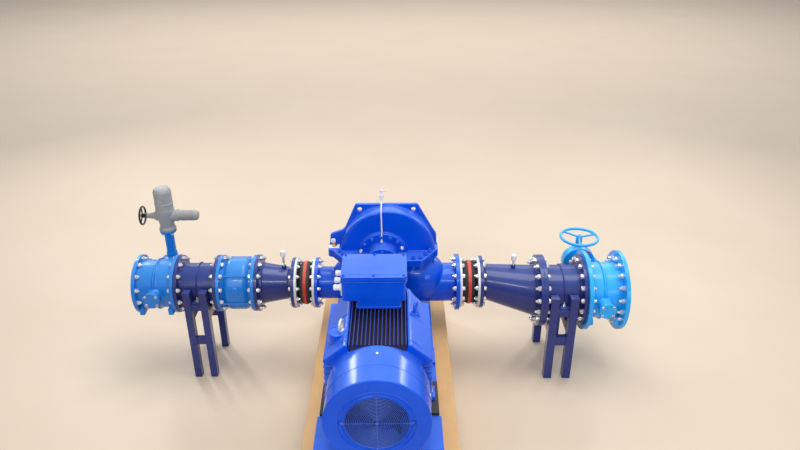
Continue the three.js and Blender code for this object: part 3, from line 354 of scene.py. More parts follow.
def makeFloorMaterial():
    material, tree, shader, at = startMaterial("paleFloor", {"IOR": 1.45})
    drift = useGroup(tree, "drift", at, Colour=rgba(0.68, 0.56, 0.43), Shade=rgba(0.64, 0.52, 0.395), Scale=0.5,
                     Amount=0.6)
    setOrLink(shader["Base Color"], drift["Colour"])
    setOrLink(shader["Roughness"], mapRange(tree, drift["Gloss"], 0.3, 0.7, 0.5, 0.62))
    return material


finish = {name: makePaint(name) for name in paints}
finish.update({name: makeMetal(name) for name in metals})
finish["rubber"] = makeRubber()
finish["concrete"] = makeConcrete()
print("materials made:", len(finish))


# Shapes, in millimetres: a shell is (points, faces) of one closed surface
def facingOut(shell):
    points, faces = shell
    volume = 0.0
    for face in faces:
        a = Vector(points[face[0]])
        for first, second in zip(face[1:-1], face[2:]):
            volume += a.dot(Vector(points[first]).cross(Vector(points[second])))
    return shell if volume > 0 else (points, [tuple(reversed(face)) for face in faces])


def bendPoints(before, corner, after, radius, gap=18.0):
    toBefore, toAfter = before - corner, after - corner
    if toBefore.length < 1e-6 or toAfter.length < 1e-6 or radius <= 0:
        return [corner]
    angle = toBefore.angle(toAfter)
    if angle > math.radians(176):
        return [corner]
    reach = min(radius / math.tan(angle / 2), 0.49 * toBefore.length, 0.49 * toAfter.length)
    start = corner + toBefore.normalized() * reach
    end = corner + toAfter.normalized() * reach
    steps = max(2, math.ceil(math.degrees(math.pi - angle) / gap))
    return [start.lerp(corner, t).lerp(corner.lerp(end, t), t) for t in (i / steps for i in range(steps + 1))]


# Rounds a profile's corners: a point's own third number is its radius, and radius is the others'
def softened(points, radius=2.0, closed=False, gap=18.0):
    out = []
    count = len(points)
    for i, point in enumerate(points):
        corner = Vector(point[:2])
        if not closed and i in (0, count - 1):
            out.append(corner)
            continue
        own = point[2] if len(point) > 2 else radius
        out += bendPoints(Vector(points[i - 1][:2]), corner, Vector(points[(i + 1) % count][:2]), own, gap)
    return [(p.x, p.y) for p in out]


def swung(axis, centre, station, radius, angle):
    c, s = radius * math.cos(angle), radius * math.sin(angle)
    return {"x": (station, centre[1] + c, centre[2] + s), "y": (centre[0] + c, station, centre[2] + s),
            "z": (centre[0] + c, centre[1] + s, station)}[axis]


def roundAngles(count):
    return [2 * math.pi * i / count for i in range(count)]


# Turned shape about an axis: the profile starts and ends on the axis, or closes on itself
def turned(axis, centre, profile, segments=72, radius=2.0, gap=18.0):
    onAxis = profile[0][1] < 1e-6
    points, rings = [], []
    for station, r in softened(profile, radius, closed=not onAxis, gap=gap):
        around = [swung(axis, centre, station, r, a) for a in (roundAngles(segments) if r >= 1e-6 else [0.0])]
        rings.append(list(range(len(points), len(points) + len(around))))
        points += around
    faces = []
    for first, second in zip(rings, rings[1:] if onAxis else rings[1:] + rings[:1]):
        for i in range(segments):
            j = (i + 1) % segments
            corners = (first[i % len(first)], second[i % len(second)], second[j % len(second)],
                       first[j % len(first)])
            faces.append(tuple(dict.fromkeys(corners)))
    return facingOut((points, [face for face in faces if len(face) > 2]))


def solidRod(axis, centre, a, b, r, segments=32, edge=1.5):
    return turned(axis, centre, [(a, 0), (a, r), (b, r), (b, 0)], segments, edge)


def toSpace(axis, u, v, station):
    return {"x": (station, u, v), "y": (u, station, v), "z": (u, v, station)}[axis]


def rectangle(u0, u1, v0, v1, corner=0.0, gap=18.0):
    return softened([(u0, v0), (u1, v0), (u1, v1), (u0, v1)], corner, closed=True, gap=gap)


# Straight bar of any outline along an axis, with rounded ends
def bar(outline, axis, a, b, edge=1.5):
    count = len(outline)
    area = sum(outline[i - 1][0] * outline[i][1] - outline[i][0] * outline[i - 1][1] for i in range(count))
    side = 1.0 if area > 0 else -1.0
    inward = []
    for i in range(count):
        p, q, r = (Vector(outline[k % count]) for k in (i - 1, i, i + 1))
        first, second = (q - p).normalized(), (r - q).normalized()
        normal = Vector((-first.y - second.y, first.x + second.x)) * side
        length = normal.length
        inward.append(normal / length * min(2.0 / length, 1.6) if length > 1e-6 else Vector((0, 0)))
    rings = [(a, 0.0), (b, 0.0)]
    if edge > 0:
        rings = [(a, edge), (a + 0.3 * edge, 0.29 * edge), (a + edge, 0.0),
                 (b - edge, 0.0), (b - 0.3 * edge, 0.29 * edge), (b, edge)]
    points = [toSpace(axis, u + inward[i].x * inset, v + inward[i].y * inset, station)
              for station, inset in rings for i, (u, v) in enumerate(outline)]
    faces = [tuple(range(count)), tuple(range(len(points) - count, len(points)))[::-1]]
    for base in range(0, len(points) - count, count):
        faces += [(base + i, base + count + i, base + count + (i + 1) % count, base + (i + 1) % count)
                  for i in range(count)]
    return facingOut((points, faces))


def softBox(x0, x1, y0, y1, z0, z1, corner=3.0, edge=2.0, axis="z"):
    spans = {"x": (y0, y1, z0, z1, x0, x1), "y": (x0, x1, z0, z1, y0, y1), "z": (x0, x1, y0, y1, z0, z1)}[axis]
    return bar(rectangle(*spans[:4], corner), axis, spans[4], spans[5], edge)


# Both ends of a span on the left (-1) or the right (1)
def spanOn(side, near, far):
    return sorted((side * near, side * far))


# Round bar along a path of points
def roundBar(path, radius, sides=12, closed=False):
    path = [Vector(p) for p in path]
    count = len(path)
    tangents = []
    for i in range(count):
        before = path[i - 1] if closed or i > 0 else path[i]
        after = path[(i + 1) % count] if closed or i < count - 1 else path[i]
        tangents.append((after - before).normalized())
    normal = tangents[0].orthogonal().normalized()
    points = []
    for i, place in enumerate(path):
        normal = (normal - tangents[i] * normal.dot(tangents[i])).normalized()
        across = tangents[i].cross(normal)
        points += [tuple(place + (normal * math.cos(a) + across * math.sin(a)) * radius)
                   for a in roundAngles(sides)]
    faces = []
    for i in range(count if closed else count - 1):
        first, second = i * sides, ((i + 1) % count) * sides
        turn = 0
        if closed and i == count - 1:  # the last ring meets the first one with its points turned
            gaps = [(Vector(points[first]) - Vector(points[k])).length for k in range(sides)]
            turn = gaps.index(min(gaps))
        faces += [(first + k, first + (k + 1) % sides, second + (k + 1 + turn) % sides,
                   second + (k + turn) % sides) for k in range(sides)]
    if not closed:
        faces += [tuple(range(sides))[::-1], tuple(range((count - 1) * sides, count * sides))]
    return facingOut((points, faces))


def arcPath(axis, centre, radius, station, a0, a1, steps):
    return [swung(axis, centre, station, radius, math.radians(a0 + (a1 - a0) * i / steps))
            for i in range(steps + 1)]


def ball(centre, radii, segments=40, rings=20):
    points = [(centre[0], centre[1], centre[2] - radii[2])]
    for tilt in (math.pi * j / rings for j in range(1, rings)):
        points += [(centre[0] + radii[0] * math.sin(tilt) * math.cos(a),
                    centre[1] + radii[1] * math.sin(tilt) * math.sin(a),
                    centre[2] - radii[2] * math.cos(tilt)) for a in roundAngles(segments)]
    points.append((centre[0], centre[1], centre[2] + radii[2]))
    last = len(points) - 1
    faces = []
    for i in range(segments):
        k = (i + 1) % segments
        faces += [(0, 1 + i, 1 + k), (last, last - segments + k, last - segments + i)]
        for base in range(1, 1 + (rings - 2) * segments, segments):
            faces.append((base + i, base + segments + i, base + segments + k, base + k))
    return facingOut((points, faces))


def spun(shell, axis, centre, degrees):
    turn = (Matrix.Translation(centre) @ Matrix.Rotation(math.radians(degrees), 4, axis.upper())
            @ Matrix.Translation(-Vector(centre)))
    return ([tuple(turn @ Vector(p)) for p in shell[0]], shell[1])


# From shells to pieces
def newObject(name, mesh):
    piece = bpy.data.objects.new(name, mesh)
    scene.collection.objects.link(piece)
    return piece


def addModifier(piece, name, kind, **settings):
    modifier = piece.modifiers.new(name, kind)
    for key, value in settings.items():
        setattr(modifier, key, value)
    return modifier


def bake(piece):
    graph = bpy.context.evaluated_depsgraph_get()
    mesh = bpy.data.meshes.new_from_object(piece.evaluated_get(graph), preserve_all_data_layers=True,
                                           depsgraph=graph)
    old = piece.data
    piece.modifiers.clear()
    piece.data = mesh
    mesh.name = piece.name
    if old.users == 0:
        bpy.data.meshes.remove(old)
    return piece


def markSharp(mesh, degrees):
    bm = bmesh.new()
    bm.from_mesh(mesh)
    for face in bm.faces:
        face.smooth = True
    for edge in bm.edges:
        edge.smooth = len(edge.link_faces) == 2 and edge.calc_face_angle(0.0) < math.radians(degrees)
    bm.to_mesh(mesh)
    bm.free()


def shellObject(name, shells, material=None):
    points, faces = [], []
    for shellPoints, shellFaces in shells:
        start = len(points)
        points += [(x * mm, y * mm, z * mm) for x, y, z in shellPoints]
        faces += [tuple(start + i for i in face) for face in shellFaces]
    mesh = bpy.data.meshes.new(name)
    mesh.from_pydata(points, [], faces)
    if material:
        mesh.materials.append(material)
    return newObject(name, mesh)


def evenNormals(piece, sharp):
    markSharp(piece.data, sharp)
    addModifier(piece, "evenNormals", "WEIGHTED_NORMAL", keep_sharp=True)
    return bake(piece)


def hand(piece, body, nodes):
    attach(piece, body)
    if nodes:
        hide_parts(*nodes)
    return piece


def addPiece(name, shells, look, nodes=(), body="pump_set", sharp=32):
    piece = evenNormals(shellObject(name, shells, finish[look]), sharp)
    return hand(piece, body, nodes)


# A casting: shells melted together on a fine grid, its edges and corners rounded, then its bores cut
def castPiece(name, shells, look, nodes, grid=6.0, rounds=5, cutters=()):
    piece = shellObject(name, shells, finish[look])
    addModifier(piece, "skin", "REMESH", mode="VOXEL", voxel_size=grid * mm, use_smooth_shade=True)
    addModifier(piece, "fillet", "SMOOTH", factor=0.5, iterations=rounds)
    bake(piece)
    tools = [shellObject(f"cutter{i}", [cutter]) for i, cutter in enumerate(cutters)]
    for tool in tools:
        addModifier(piece, tool.name, "BOOLEAN", operation="DIFFERENCE", solver="MANIFOLD", object=tool)
    bake(piece)
    for tool in tools:
        bpy.data.objects.remove(tool)
    if not piece.data.materials:
        piece.data.materials.append(finish[look])
    markSharp(piece.data, 42)
    return hand(piece, "pump_set", nodes)


# A CAD node's own shape with rounded edges: the copy is merged, its flats made whole and its edges rounded
def roundedNode(node, look, width, steps=2):
    bm = bmesh.new()
    bm.from_mesh(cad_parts[node].data)
    bmesh.ops.remove_doubles(bm, verts=bm.verts, dist=0.00005)
    bmesh.ops.dissolve_limit(bm, angle_limit=math.radians(1.0), verts=bm.verts, edges=bm.edges)
    mesh = bpy.data.meshes.new(node + "_dressed")
    bm.to_mesh(mesh)
    bm.free()
    mesh.materials.clear()
    mesh.materials.append(finish[look])
    piece = newObject(node + "_dressed", mesh)
    addModifier(piece, "roundEdges", "BEVEL", width=width * mm, segments=steps, limit_method="ANGLE",
                angle_limit=math.radians(30), use_clamp_overlap=True)
    bake(piece)
    for polygon in piece.data.polygons:
        polygon.material_index = 0
    evenNormals(piece, 50)
    return hand(piece, "pump_set", (node,))


# Geometry nodes: each tree ends in Realize Instances and Set Material
def geo(tree, kind, plain=None, **sockets):
    return flow(tree, "GeometryNode" + kind, plain, **sockets)


def combine(tree, **parts):
    return flow(tree, "ShaderNodeCombineXYZ", **parts)


def startShape(name, inputs):
    return startTree(name, "GeometryNodeTree", [("Geometry", "Geometry", None), *inputs],
                     [("Geometry", "Geometry")])


def joinShapes(tree, shapes):
    node = addNode(tree, "GeometryNodeJoinGeometry")
    for shape in shapes:
        setOrLink(node.inputs["Geometry"], shape)
    return node.outputs[0]


def endTree(tree, given, result, geometry):
    setOrLink(result["Geometry"], geo(tree, "SetMaterial", Geometry=geometry, Material=given["Metal"]))
    return tree


nutSizes = {"Across": 0.03, "Height": 0.016, "Washer": 0.003, "Stud": 0.008}
nutInputs = [(label, "Float", value) for label, value in nutSizes.items()]
metalInput = ("Metal", "Material", None)
fastenerInputs = [*nutInputs, ("Facing", "Vector", (0, 0, 0)), metalInput]


# One hex nut on its washer, with the stud's end, standing on z 0
def makeFastenerGroup():
    tree, given, result = startShape("hexFastener", nutInputs)
    across, height, washer, stud = (given[label] for label in nutSizes)
    body, crown = times(tree, height, 0.8), times(tree, height, 0.2)
    total = doMath(tree, "ADD", height, stud)

    def lifted(mesh, rise):
        return geo(tree, "Transform", Geometry=mesh, Translation=combine(tree, Z=rise))

    def column(sides, width, foot, depth):
        mesh = geo(tree, "MeshCylinder", Vertices=sides, Radius=times(tree, across, width), Depth=depth)
        return lifted(mesh, doMath(tree, "ADD", foot, times(tree, depth, 0.5)))

    cone = geo(tree, "MeshCone", Vertices=6, Radius_Top=times(tree, across, 0.47),
               Radius_Bottom=times(tree, across, 0.577), Depth=crown)
    setOrLink(result["Geometry"], joinShapes(tree, [
        column(14, 0.62, 0.0, washer), column(6, 0.577, washer, body),
        lifted(cone, doMath(tree, "ADD", washer, body)), column(8, 0.31, washer, total)]))
    return tree


# Puts the fastener on points, each turned a little differently about its own axis
def fastenersOn(tree, given, fastener, points, **rotation):
    nut = geo(tree, "Group", {"node_tree": fastener}, **{label: given[label] for label in nutSizes})
    spread = geo(tree, "InstanceOnPoints", Points=points, Instance=nut, **rotation)
    chance = addNode(tree, "FunctionNodeRandomValue", {"data_type": "FLOAT"}, Seed=7)
    chance.inputs[3].default_value = math.pi / 3
    twisted = geo(tree, "RotateInstances", Instances=spread, Rotation=combine(tree, Z=chance.outputs[1]))
    return geo(tree, "RealizeInstances", Geometry=twisted)


# Fasteners evenly round a circle
def makeRingTree(fastener):
    tree, given, result = startShape("fastenerRing", [
        ("Count", "Int", 16), ("Circle", "Float", 0.23), ("Turn", "Float", 0.0), ("Place", "Vector", (0, 0, 0)),
        *fastenerInputs])
    circle = geo(tree, "MeshCircle", Vertices=given["Count"], Radius=given["Circle"])
    clocked = geo(tree, "Transform", Geometry=fastenersOn(tree, given, fastener, circle),
                  Rotation=combine(tree, Z=given["Turn"]))
    return endTree(tree, given, result, geo(tree, "Transform", Geometry=clocked, Translation=given["Place"],
                                            Rotation=given["Facing"]))


# Fasteners on the points of the object's own mesh
def makeSetTree(fastener):
    tree, given, result = startShape("fastenerSet", fastenerInputs)
    points = geo(tree, "MeshToPoints", Mesh=given["Geometry"])
    return endTree(tree, given, result, fastenersOn(tree, given, fastener, points, Rotation=given["Facing"]))


# A row of equal plates
def makeFinTree():
    tree, given, result = startShape("finRow", [
        ("Count", "Int", 15), ("Start", "Vector", (0, 0, 0)), ("Step", "Vector", (0.03, 0, 0)),
        ("Size", "Vector", (0.009, 1.0, 0.08)), metalInput])
    line = geo(tree, "MeshLine", {"mode": "OFFSET"}, Count=given["Count"], Start_Location=given["Start"],
               Offset=given["Step"])
    plates = geo(tree, "InstanceOnPoints", Points=line, Instance=geo(tree, "MeshCube", Size=given["Size"]))
    return endTree(tree, given, result, geo(tree, "RealizeInstances", Geometry=plates))


# Round wire guard: rings a step apart and straight spokes
def makeGuardTree():
    tree, given, result = startShape("wireGuard", [
        ("Rings", "Int", 14), ("Inner", "Float", 0.03), ("Step", "Float", 0.016), ("Wire", "Float", 0.0022),
        ("Spokes", "Int", 4), ("Reach", "Float", 0.24), ("Place", "Vector", (0, 0, 0)), metalInput])
    index = geo(tree, "InputIndex")

    def copies(count, curve, **values):
        line = geo(tree, "MeshLine", {"mode": "OFFSET"}, Offset=(0, 0, 0), Count=count)
        return geo(tree, "InstanceOnPoints", Points=line, Instance=curve, **values)

    size = doMath(tree, "ADD", times(tree, index, given["Step"]), given["Inner"])
    rings = copies(given["Rings"], geo(tree, "CurvePrimitiveCircle", Resolution=72, Radius=1.0), Scale=size)
    angle = times(tree, index, doMath(tree, "DIVIDE", 2 * math.pi, given["Spokes"]))
    spoke = geo(tree, "CurvePrimitiveLine", End=combine(tree, X=given["Reach"]))
    spokes = copies(given["Spokes"], spoke, Rotation=combine(tree, Z=angle))
    curves = geo(tree, "RealizeInstances", Geometry=joinShapes(tree, [rings, spokes]))
    wires = geo(tree, "CurveToMesh", Fill_Caps=True, Curve=curves,
                Profile_Curve=geo(tree, "CurvePrimitiveCircle", Resolution=6, Radius=given["Wire"]))
    upright = geo(tree, "Transform", Rotation=(math.pi / 2, 0, 0), Geometry=wires, Translation=given["Place"])
    return endTree(tree, given, result, geo(tree, "RealizeInstances", Geometry=upright))


fastenerGroup = makeFastenerGroup()
trees = {"ring": makeRingTree(fastenerGroup), "set": makeSetTree(fastenerGroup), "fins": makeFinTree(),
         "guard": makeGuardTree()}


def runTree(name, treeName, points, values):
    mesh = bpy.data.meshes.new(name)
    mesh.from_pydata(points, [], [])
    piece = newObject(name, mesh)
    nodes = addModifier(piece, "shape", "NODES", node_group=trees[treeName])
    identifiers = {item.name: item.identifier for item in trees[treeName].interface.items_tree
                   if item.in_out == "INPUT"}
    for label, value in values.items():
        nodes[identifiers[label]] = value
    return bake(piece)


facings = {"+x": (0, math.pi / 2, 0), "-x": (0, -math.pi / 2, 0), "+y": (-math.pi / 2, 0, 0),
           "-y": (math.pi / 2, 0, 0), "+z": (0, 0, 0), "-z": (math.pi, 0, 0)}
bothWays = ((-1, "-y"), (1, "+y"))
# Bolt sizes: nut across flats, nut height, washer, and the stud's end past the nut
boltSizes = {"M6": (10, 5, 1, 0), "M8": (13, 6, 1.5, 0), "M12": (18, 9, 2, 0), "M16": (24, 12, 3, 6),
             "M20": (31, 17, 3.5, 11), "M24": (37, 21, 4, 13), "M27": (42, 23, 4, 14), "M30": (46, 25, 5, 14)}


def sizeValues(size, look, facing, stud=None):
    across, height, washer, out = boltSizes[size]
    return {"Across": across * mm, "Height": height * mm, "Washer": washer * mm,
            "Stud": (out if stud is None else stud) * mm, "Facing": facings[facing], "Metal": finish[look]}


def ringOfNuts(place, facing, count, circle, size, stud=None, look="zincBolts", turn=None):
    return runTree("nuts", "ring", [], {
        "Count": count, "Circle": circle * mm, "Turn": math.pi / count if turn is None else turn,
        "Place": tuple(c * mm for c in place), **sizeValues(size, look, facing, stud)})


def setOfNuts(places, facing, size, stud=None, look="zincBolts"):
    points = [tuple(c * mm for c in place) for place in places]
    return runTree("nuts", "set", points, sizeValues(size, look, facing, stud))


def joinInto(name, objects, look="zincBolts", body="pump_set", nodes=()):
    bm = bmesh.new()
    for piece in objects:
        bm.from_mesh(piece.data)
    mesh = bpy.data.meshes.new(name)
    bm.to_mesh(mesh)
    bm.free()
    mesh.materials.append(finish[look])
    for polygon in mesh.polygons:
        polygon.material_index = 0
    for piece in objects:
        bpy.data.objects.remove(piece)
    joined = newObject(name, mesh)
    markSharp(mesh, 25)
    return hand(joined, body, nodes)


print("shape tools ready")

# Heights over the floor: the shaft, the pump's nozzles and the suction pipe
shaftZ = 1330.0
nozzleZ = 950.0
suctionZ = 848.0


def onShaft(profile, *rest, **named):
    return turned("y", (0, 0, shaftZ), profile, *rest, **named)


def onNozzle(profile, *rest, **named):
    return turned("x", (0, 0, nozzleZ), profile, *rest, **named)


def standing(x, y, profile, *rest, **named):
    return turned("z", (x, y, 0), profile, *rest, **named)


# Plinth, base and motor pedestal: node, look, edge radius, steps
plainParts = [("plinth", "concrete", 9.0, 3), ("base_frame", "cobaltPaint", 5.0, 3),
              ("motor_pedestal", "cobaltPaint", 3.5, 2), ("motor_pad_left", "rubber", 3.0, 2),
              ("motor_pad_right", "rubber", 3.0, 2), ("coupling_guard", "cobaltPaint", 1.2, 2)]
for part in plainParts:
    roundedNode(*part)
print("base done")

# Pump casing; splitHalf is half the outline of its split flange
pump = {"drumX": 50, "drumR": 455, "drumHalf": 105, "rim": 24, "coverR": 240, "coverHalf": 150,
        "chamberR": 150, "chamberHalf": 300, "up": 36, "down": 42, "shaftHole": 45.6, "gap": 0.3}
splitHalf = [(-530, 74), (-485, 86), (-340, 298), (380, 298), (500, 115), (535, 70)]
web = {"y0": 30, "y1": 70, "top": 1800, "topX": (-258, 337), "waist": 1532, "waistX": (-372, 486),
       "ear": 1480, "earX": (-510, 520), "foot": 1345, "footX": (-522, 528), "hole": 24, "inset": 40,
       "drop": 55}
# The lower casing's feet: spans of x, y and z, and the corner's radius
pumpFeet = [((130, 350), (90, 235), (700.3, 738), 14), ((165, 290), (66, 190), (716, 1240), 16),
            ((205, 228), (100, 232), (716, 900), 4)]


def splitPlate(z0, z1):
    outline = [(x, -y) for x, y in splitHalf] + [(x, y) for x, y in reversed(splitHalf)]
    return bar(softened(outline, 40.0, closed=True), "z", z0, z1, 3)


def casingBody():
    drum = turned("y", (pump["drumX"], 0, shaftZ), [
        (-pump["drumHalf"], 0), (-pump["drumHalf"], pump["drumR"], pump["rim"]),
        (pump["drumHalf"], pump["drumR"], pump["rim"]), (pump["drumHalf"], 0)], 160, gap=10)
    cover = onShaft([(-pump["coverHalf"], 0), (-pump["coverHalf"], pump["coverR"]),
                     (pump["coverHalf"], pump["coverR"]), (pump["coverHalf"], 0)], 120, 5)
    chamber = solidRod("y", (0, 0, shaftZ), -pump["chamberHalf"], pump["chamberHalf"], pump["chamberR"], 96, 4)
    return [drum, cover, chamber]


def halfSpace(z0, z1):
    return bar(rectangle(-900, 900, -500, 500), "z", z0, z1, 0)


def shaftBore(y0, y1, radius):
    return solidRod("y", (0, 0, shaftZ), y0, y1, radius, 64, 0)


def upperCasing():
    left, right = ([(web[key + "X"][i], web[key]) for key in ("foot", "ear", "waist", "top")] for i in (0, 1))
    rightSide = [right[0], (*right[1], 12), (*right[2], 40), (*right[3], 18)]
    leftSide = [(*left[3], 18), (*left[2], 60), (*left[1], 14), left[0]]
    shells = casingBody() + [
        splitPlate(shaftZ - 40, shaftZ + pump["up"]),
        solidRod("z", (-8, -160, 0), shaftZ + 100, 1490, 16, 32, 3),
        bar(softened(rightSide + leftSide, 1, closed=True), "y", web["y0"], web["y1"], 3)]
    eyes = [(x, 0, web["top"] - web["drop"])
            for x in (web["topX"][0] + web["inset"], web["topX"][1] - web["inset"])]
    holes = [solidRod("y", eye, web["y0"] - 20, web["y1"] + 20, web["hole"], 32, 0) for eye in eyes]
    castPiece("upper_casing", shells, "cobaltPaint", ("pump_upper_casing",), grid=5.5, rounds=6, cutters=[
        halfSpace(600, shaftZ + pump["gap"]), shaftBore(-700, 700, pump["shaftHole"]), *holes])
    # raised rings around the web's two lifting holes
    front, rear = web["y0"] - 3, web["y1"] + 3
    rims = [turned("y", eye, [(front, 31), (rear, 31), (rear, 24.5), (front, 24.5)], 40, 3) for eye in eyes]
    addPiece("web_eye_rings", rims, "cobaltPaint")


def lowerCasing():
    shells = casingBody() + [
        splitPlate(shaftZ - pump["down"], shaftZ + 40),
        ball((330, 0, 1030), (292, 255, 256), 64, 32),
        ball((-280, 0, 1020), (236, 168, 220), 64, 32),
        solidRod("x", (0, 0, nozzleZ), 250, 722, 192, 96, 0),
        solidRod("x", (0, 0, nozzleZ), -648, -200, 160, 96, 0)]
    shells += [softBox(*spanOn(s, *xs), *spanOn(t, *ys), *zs, corner, 3)
               for s in (-1, 1) for t in (-1, 1) for xs, ys, zs, corner in pumpFeet]
    mouths = [onNozzle([(420, 0), (420, 129), (500, 169), (760, 169), (760, 0)], 72, 0),
              onNozzle([(-690, 0), (-690, 151), (-440, 151), (-380, 111), (-380, 0)], 72, 0)]
    castPiece("lower_casing", shells, "cobaltPaint", ("pump_lower_casing",), grid=6.0, rounds=6, cutters=[
        halfSpace(shaftZ - pump["gap"], 2000), halfSpace(600, 700.3), shaftBore(-700, 700, pump["shaftHole"]),
        *mouths])
    flangeLines = [[(700, 194), (712, 202, 6), (712, 280), (750, 280), (750, 169.5), (700, 169.5)],
                   [(-628, 164), (-638, 174, 5), (-638, 252.5), (-670, 252.5), (-670, 151.5), (-628, 151.5)]]
    addPiece("pump_flanges", [onNozzle(line, 96) for line in flangeLines], "cobaltPaint")


def bearings():
    profile = [(300.3, 45.8), (300.3, 175), (330, 175), (330, 118, 14), (388, 106, 10), (410, 128),
               (452, 128, 1), (454, 125, 1), (460, 125, 1), (462, 128, 1), (505, 128), (505, 98), (515, 96),
               (515, 45.8)]
    for end, label in ((-1, "drive"), (1, "free")):
        housing = onShaft([(end * s, r, *rest) for s, r, *rest in profile], 80, 3)
        addPiece("bearing_" + label, [housing], "cobaltPaint", ("bearing_housing_" + label,))


# Vent cock on the web, its thin tube down to the seal chamber, and its place and the tube's foot
vent = {"x": -8, "y": 50, "footY": -160, "bendR": 42, "tubeR": 6.5}


def ventCock():
    x, y, footY = vent["x"], vent["y"], vent["footY"]
    path = [(x, y, 1838.3), (x, -20, 1838.3), (x, -110, 1837)]
    path += [(x, -118 - vent["bendR"] * math.sin(a), 1796.3 + vent["bendR"] * math.cos(a))
             for a in (math.radians(d) for d in range(10, 91, 10))]
    path += [(-7, footY, 1700), (-5.5, -159, 1600), (x, footY, 1520), (x, footY, 1490.3)]
    cock = standing(x, y, [(1800.3, 0), (1800.3, 18), (1814, 18), (1814, 11), (1860, 11), (1864, 21),
                           (1892, 21), (1896, 12), (1942, 12), (1942, 0)], 24, 1.5)
    lever = roundBar([(x, y, 1925), (12, y, 1930), (45, y, 1938)], 5, 10)
    nut = standing(x, footY, [(1490.3, 0), (1490.3, 12), (1506, 12), (1506, 0)], 6, 0.5)
    addPiece("vent_cock", [cock, lever, roundBar(path, vent["tubeR"], 16), nut], "palePlastic", ("pump_vent",),
             sharp=40)


# Capped plug on the web's left ear, and the bare pale seat with a brass stud before it
def earFittings():
    plugAt = (-484, 0, 1416)
    addPiece("ear_plug", [turned("y", plugAt, [(29.7, 0), (29.7, 20), (20, 20), (20, 0)], 6, 1.0)], "brass")
    cap = turned("y", plugAt, [(20.5, 0), (20.5, 25), (11, 25), (4, 20, 5), (2, 0)], 32, 2)
    addPiece("ear_plug_cap", [cap], "palePlastic")
    addPiece("bare_seat", [softBox(-526, -424, -46, 26, 1365.8, 1371, 6, 1.5)], "palePlastic")
    stud = [(1371, 0), (1371, 24), (1385, 24), (1385, 15), (1398, 14), (1398, 0)]
    addPiece("seat_stud", [standing(-472, -10, stud, 6, 1.5)], "brass")


# Bolts of the pump: the split flange's seats (x and distance from the middle), and the covers' angles
splitSeats = [(-413, 125), (-380, 175), (-337, 241), (-283, 266), (-200, 266), (200, 266), (290, 266),
              (362, 256), (412, 187), (451, 128)]
# Two cover nuts, at the bright places, are zinc among painted ones: painted highlights
coverBolts = {"circle": 213, "angles": (24, 48, 70, 94, 118, 142, 163, 198, 234, 270, 306, 342),
              "bright": [(-207, 1391), (185, 1421)], "apart": 26}


def pumpBolts():
    above = [(x, s * reach, shaftZ + pump["up"]) for s in (-1, 1) for x, reach in splitSeats]
    under = [(x, y, shaftZ - pump["down"]) for x, y, z in above]
    face, bright = pump["coverHalf"], coverBolts["bright"]
    covers = [(coverBolts["circle"] * math.cos(math.radians(a)),
               coverBolts["circle"] * math.sin(math.radians(a)) + shaftZ) for a in coverBolts["angles"]]
    covers = [place for place in covers if all(abs(place[0] - x) > coverBolts["apart"] for x, z in bright)]
    blue = "cobaltPaint"
    painted = [setOfNuts(above, "+z", "M24", look=blue), setOfNuts(under, "-z", "M24", 0, look=blue)]
    painted += [setOfNuts([(x, s * face, z) for x, z in covers], facing, "M20", 10, look=blue)
                for s, facing in bothWays]
    painted += [ringOfNuts((0, s * 330, shaftZ), facing, 6, 148, "M16", look=blue) for s, facing in bothWays]
    joinInto("pump_painted_bolts", painted, blue)
    # zinc nuts: the bearings' and the feet's, and two cover nuts as painted highlights
    zincAndGlintNuts = [setOfNuts([(x, s * face, z) for x, z in bright], facing, "M20", 12) for s, facing in bothWays]
    zincAndGlintNuts += [ringOfNuts((0, s * 505, shaftZ), facing, 6, 113, "M12") for s, facing in bothWays]
    zincAndGlintNuts.append(setOfNuts([(s * 322, t * 208, 738) for s in (-1, 1) for t in (-1, 1)], "+z", "M30"))
    joinInto("pump_bolts", zincAndGlintNuts)


upperCasing()
lowerCasing()
bearings()
ventCock()
earFittings()
pumpBolts()
print("pump done")

# Shaft line, on the rotor: two coupling halves either side of the middle, and the motor's fan
coupling = {"middle": -698, "apart": 4, "half": 118, "rim": 42, "hub": 80, "radius": 130, "pins": 8,
            "circle": 104}
fan = {"blades": 8, "turn": 11.46, "inner": 66, "outer": 290, "y0": -2276, "y1": -2158, "thick": 3.5}


def couplingHalves():
    for toMotor, label, bore in ((1, "motor", 50.4), (-1, "pump", 45.4)):
        near = coupling["middle"] - toMotor * coupling["apart"]
        back, far = near - toMotor * coupling["rim"], near - toMotor * coupling["half"]
        half = onShaft([(near, bore), (near, coupling["radius"]), (back, coupling["radius"]),
                        (back, coupling["hub"], 6), (far, coupling["hub"]), (far, bore)], 72, 2.5)
        addPiece("coupling_half_" + label, [half], "greyIron", (f"coupling_{label}_half",), "rotor")
    pins = [ringOfNuts((0, coupling["middle"] + s * (coupling["apart"] + coupling["rim"]), shaftZ), facing,
                       coupling["pins"], coupling["circle"], "M16") for s, facing in reversed(bothWays)]
    joinInto("coupling_pins", pins, body="rotor")


def motorRotor():
    shaft = onShaft([(-2300, 0), (-2300, 38), (-2260, 50), (-706, 50), (-706, 0)], 64, 2)
    hubLine = [(-2290, 0), (-2290, 78), (-2170, 95, 8), (-2165, 250, 2), (-2158, 250, 2), (-2158, 0)]
    hub = onShaft(hubLine, 72, 4)
    points, faces = bar(rectangle(fan["inner"], fan["outer"], fan["y0"], fan["y1"], 14), "z", -fan["thick"],
                        fan["thick"], 1.2)
    blade = ([(x, y, z + shaftZ) for x, y, z in points], faces)
    blades = [spun(blade, "y", (0, 0, shaftZ), 360 // fan["blades"] * i + fan["turn"])
              for i in range(fan["blades"])]
    addPiece("motor_fan", [shaft, hub, *blades], "fanPlastic", ("motor_rotor",), "rotor")


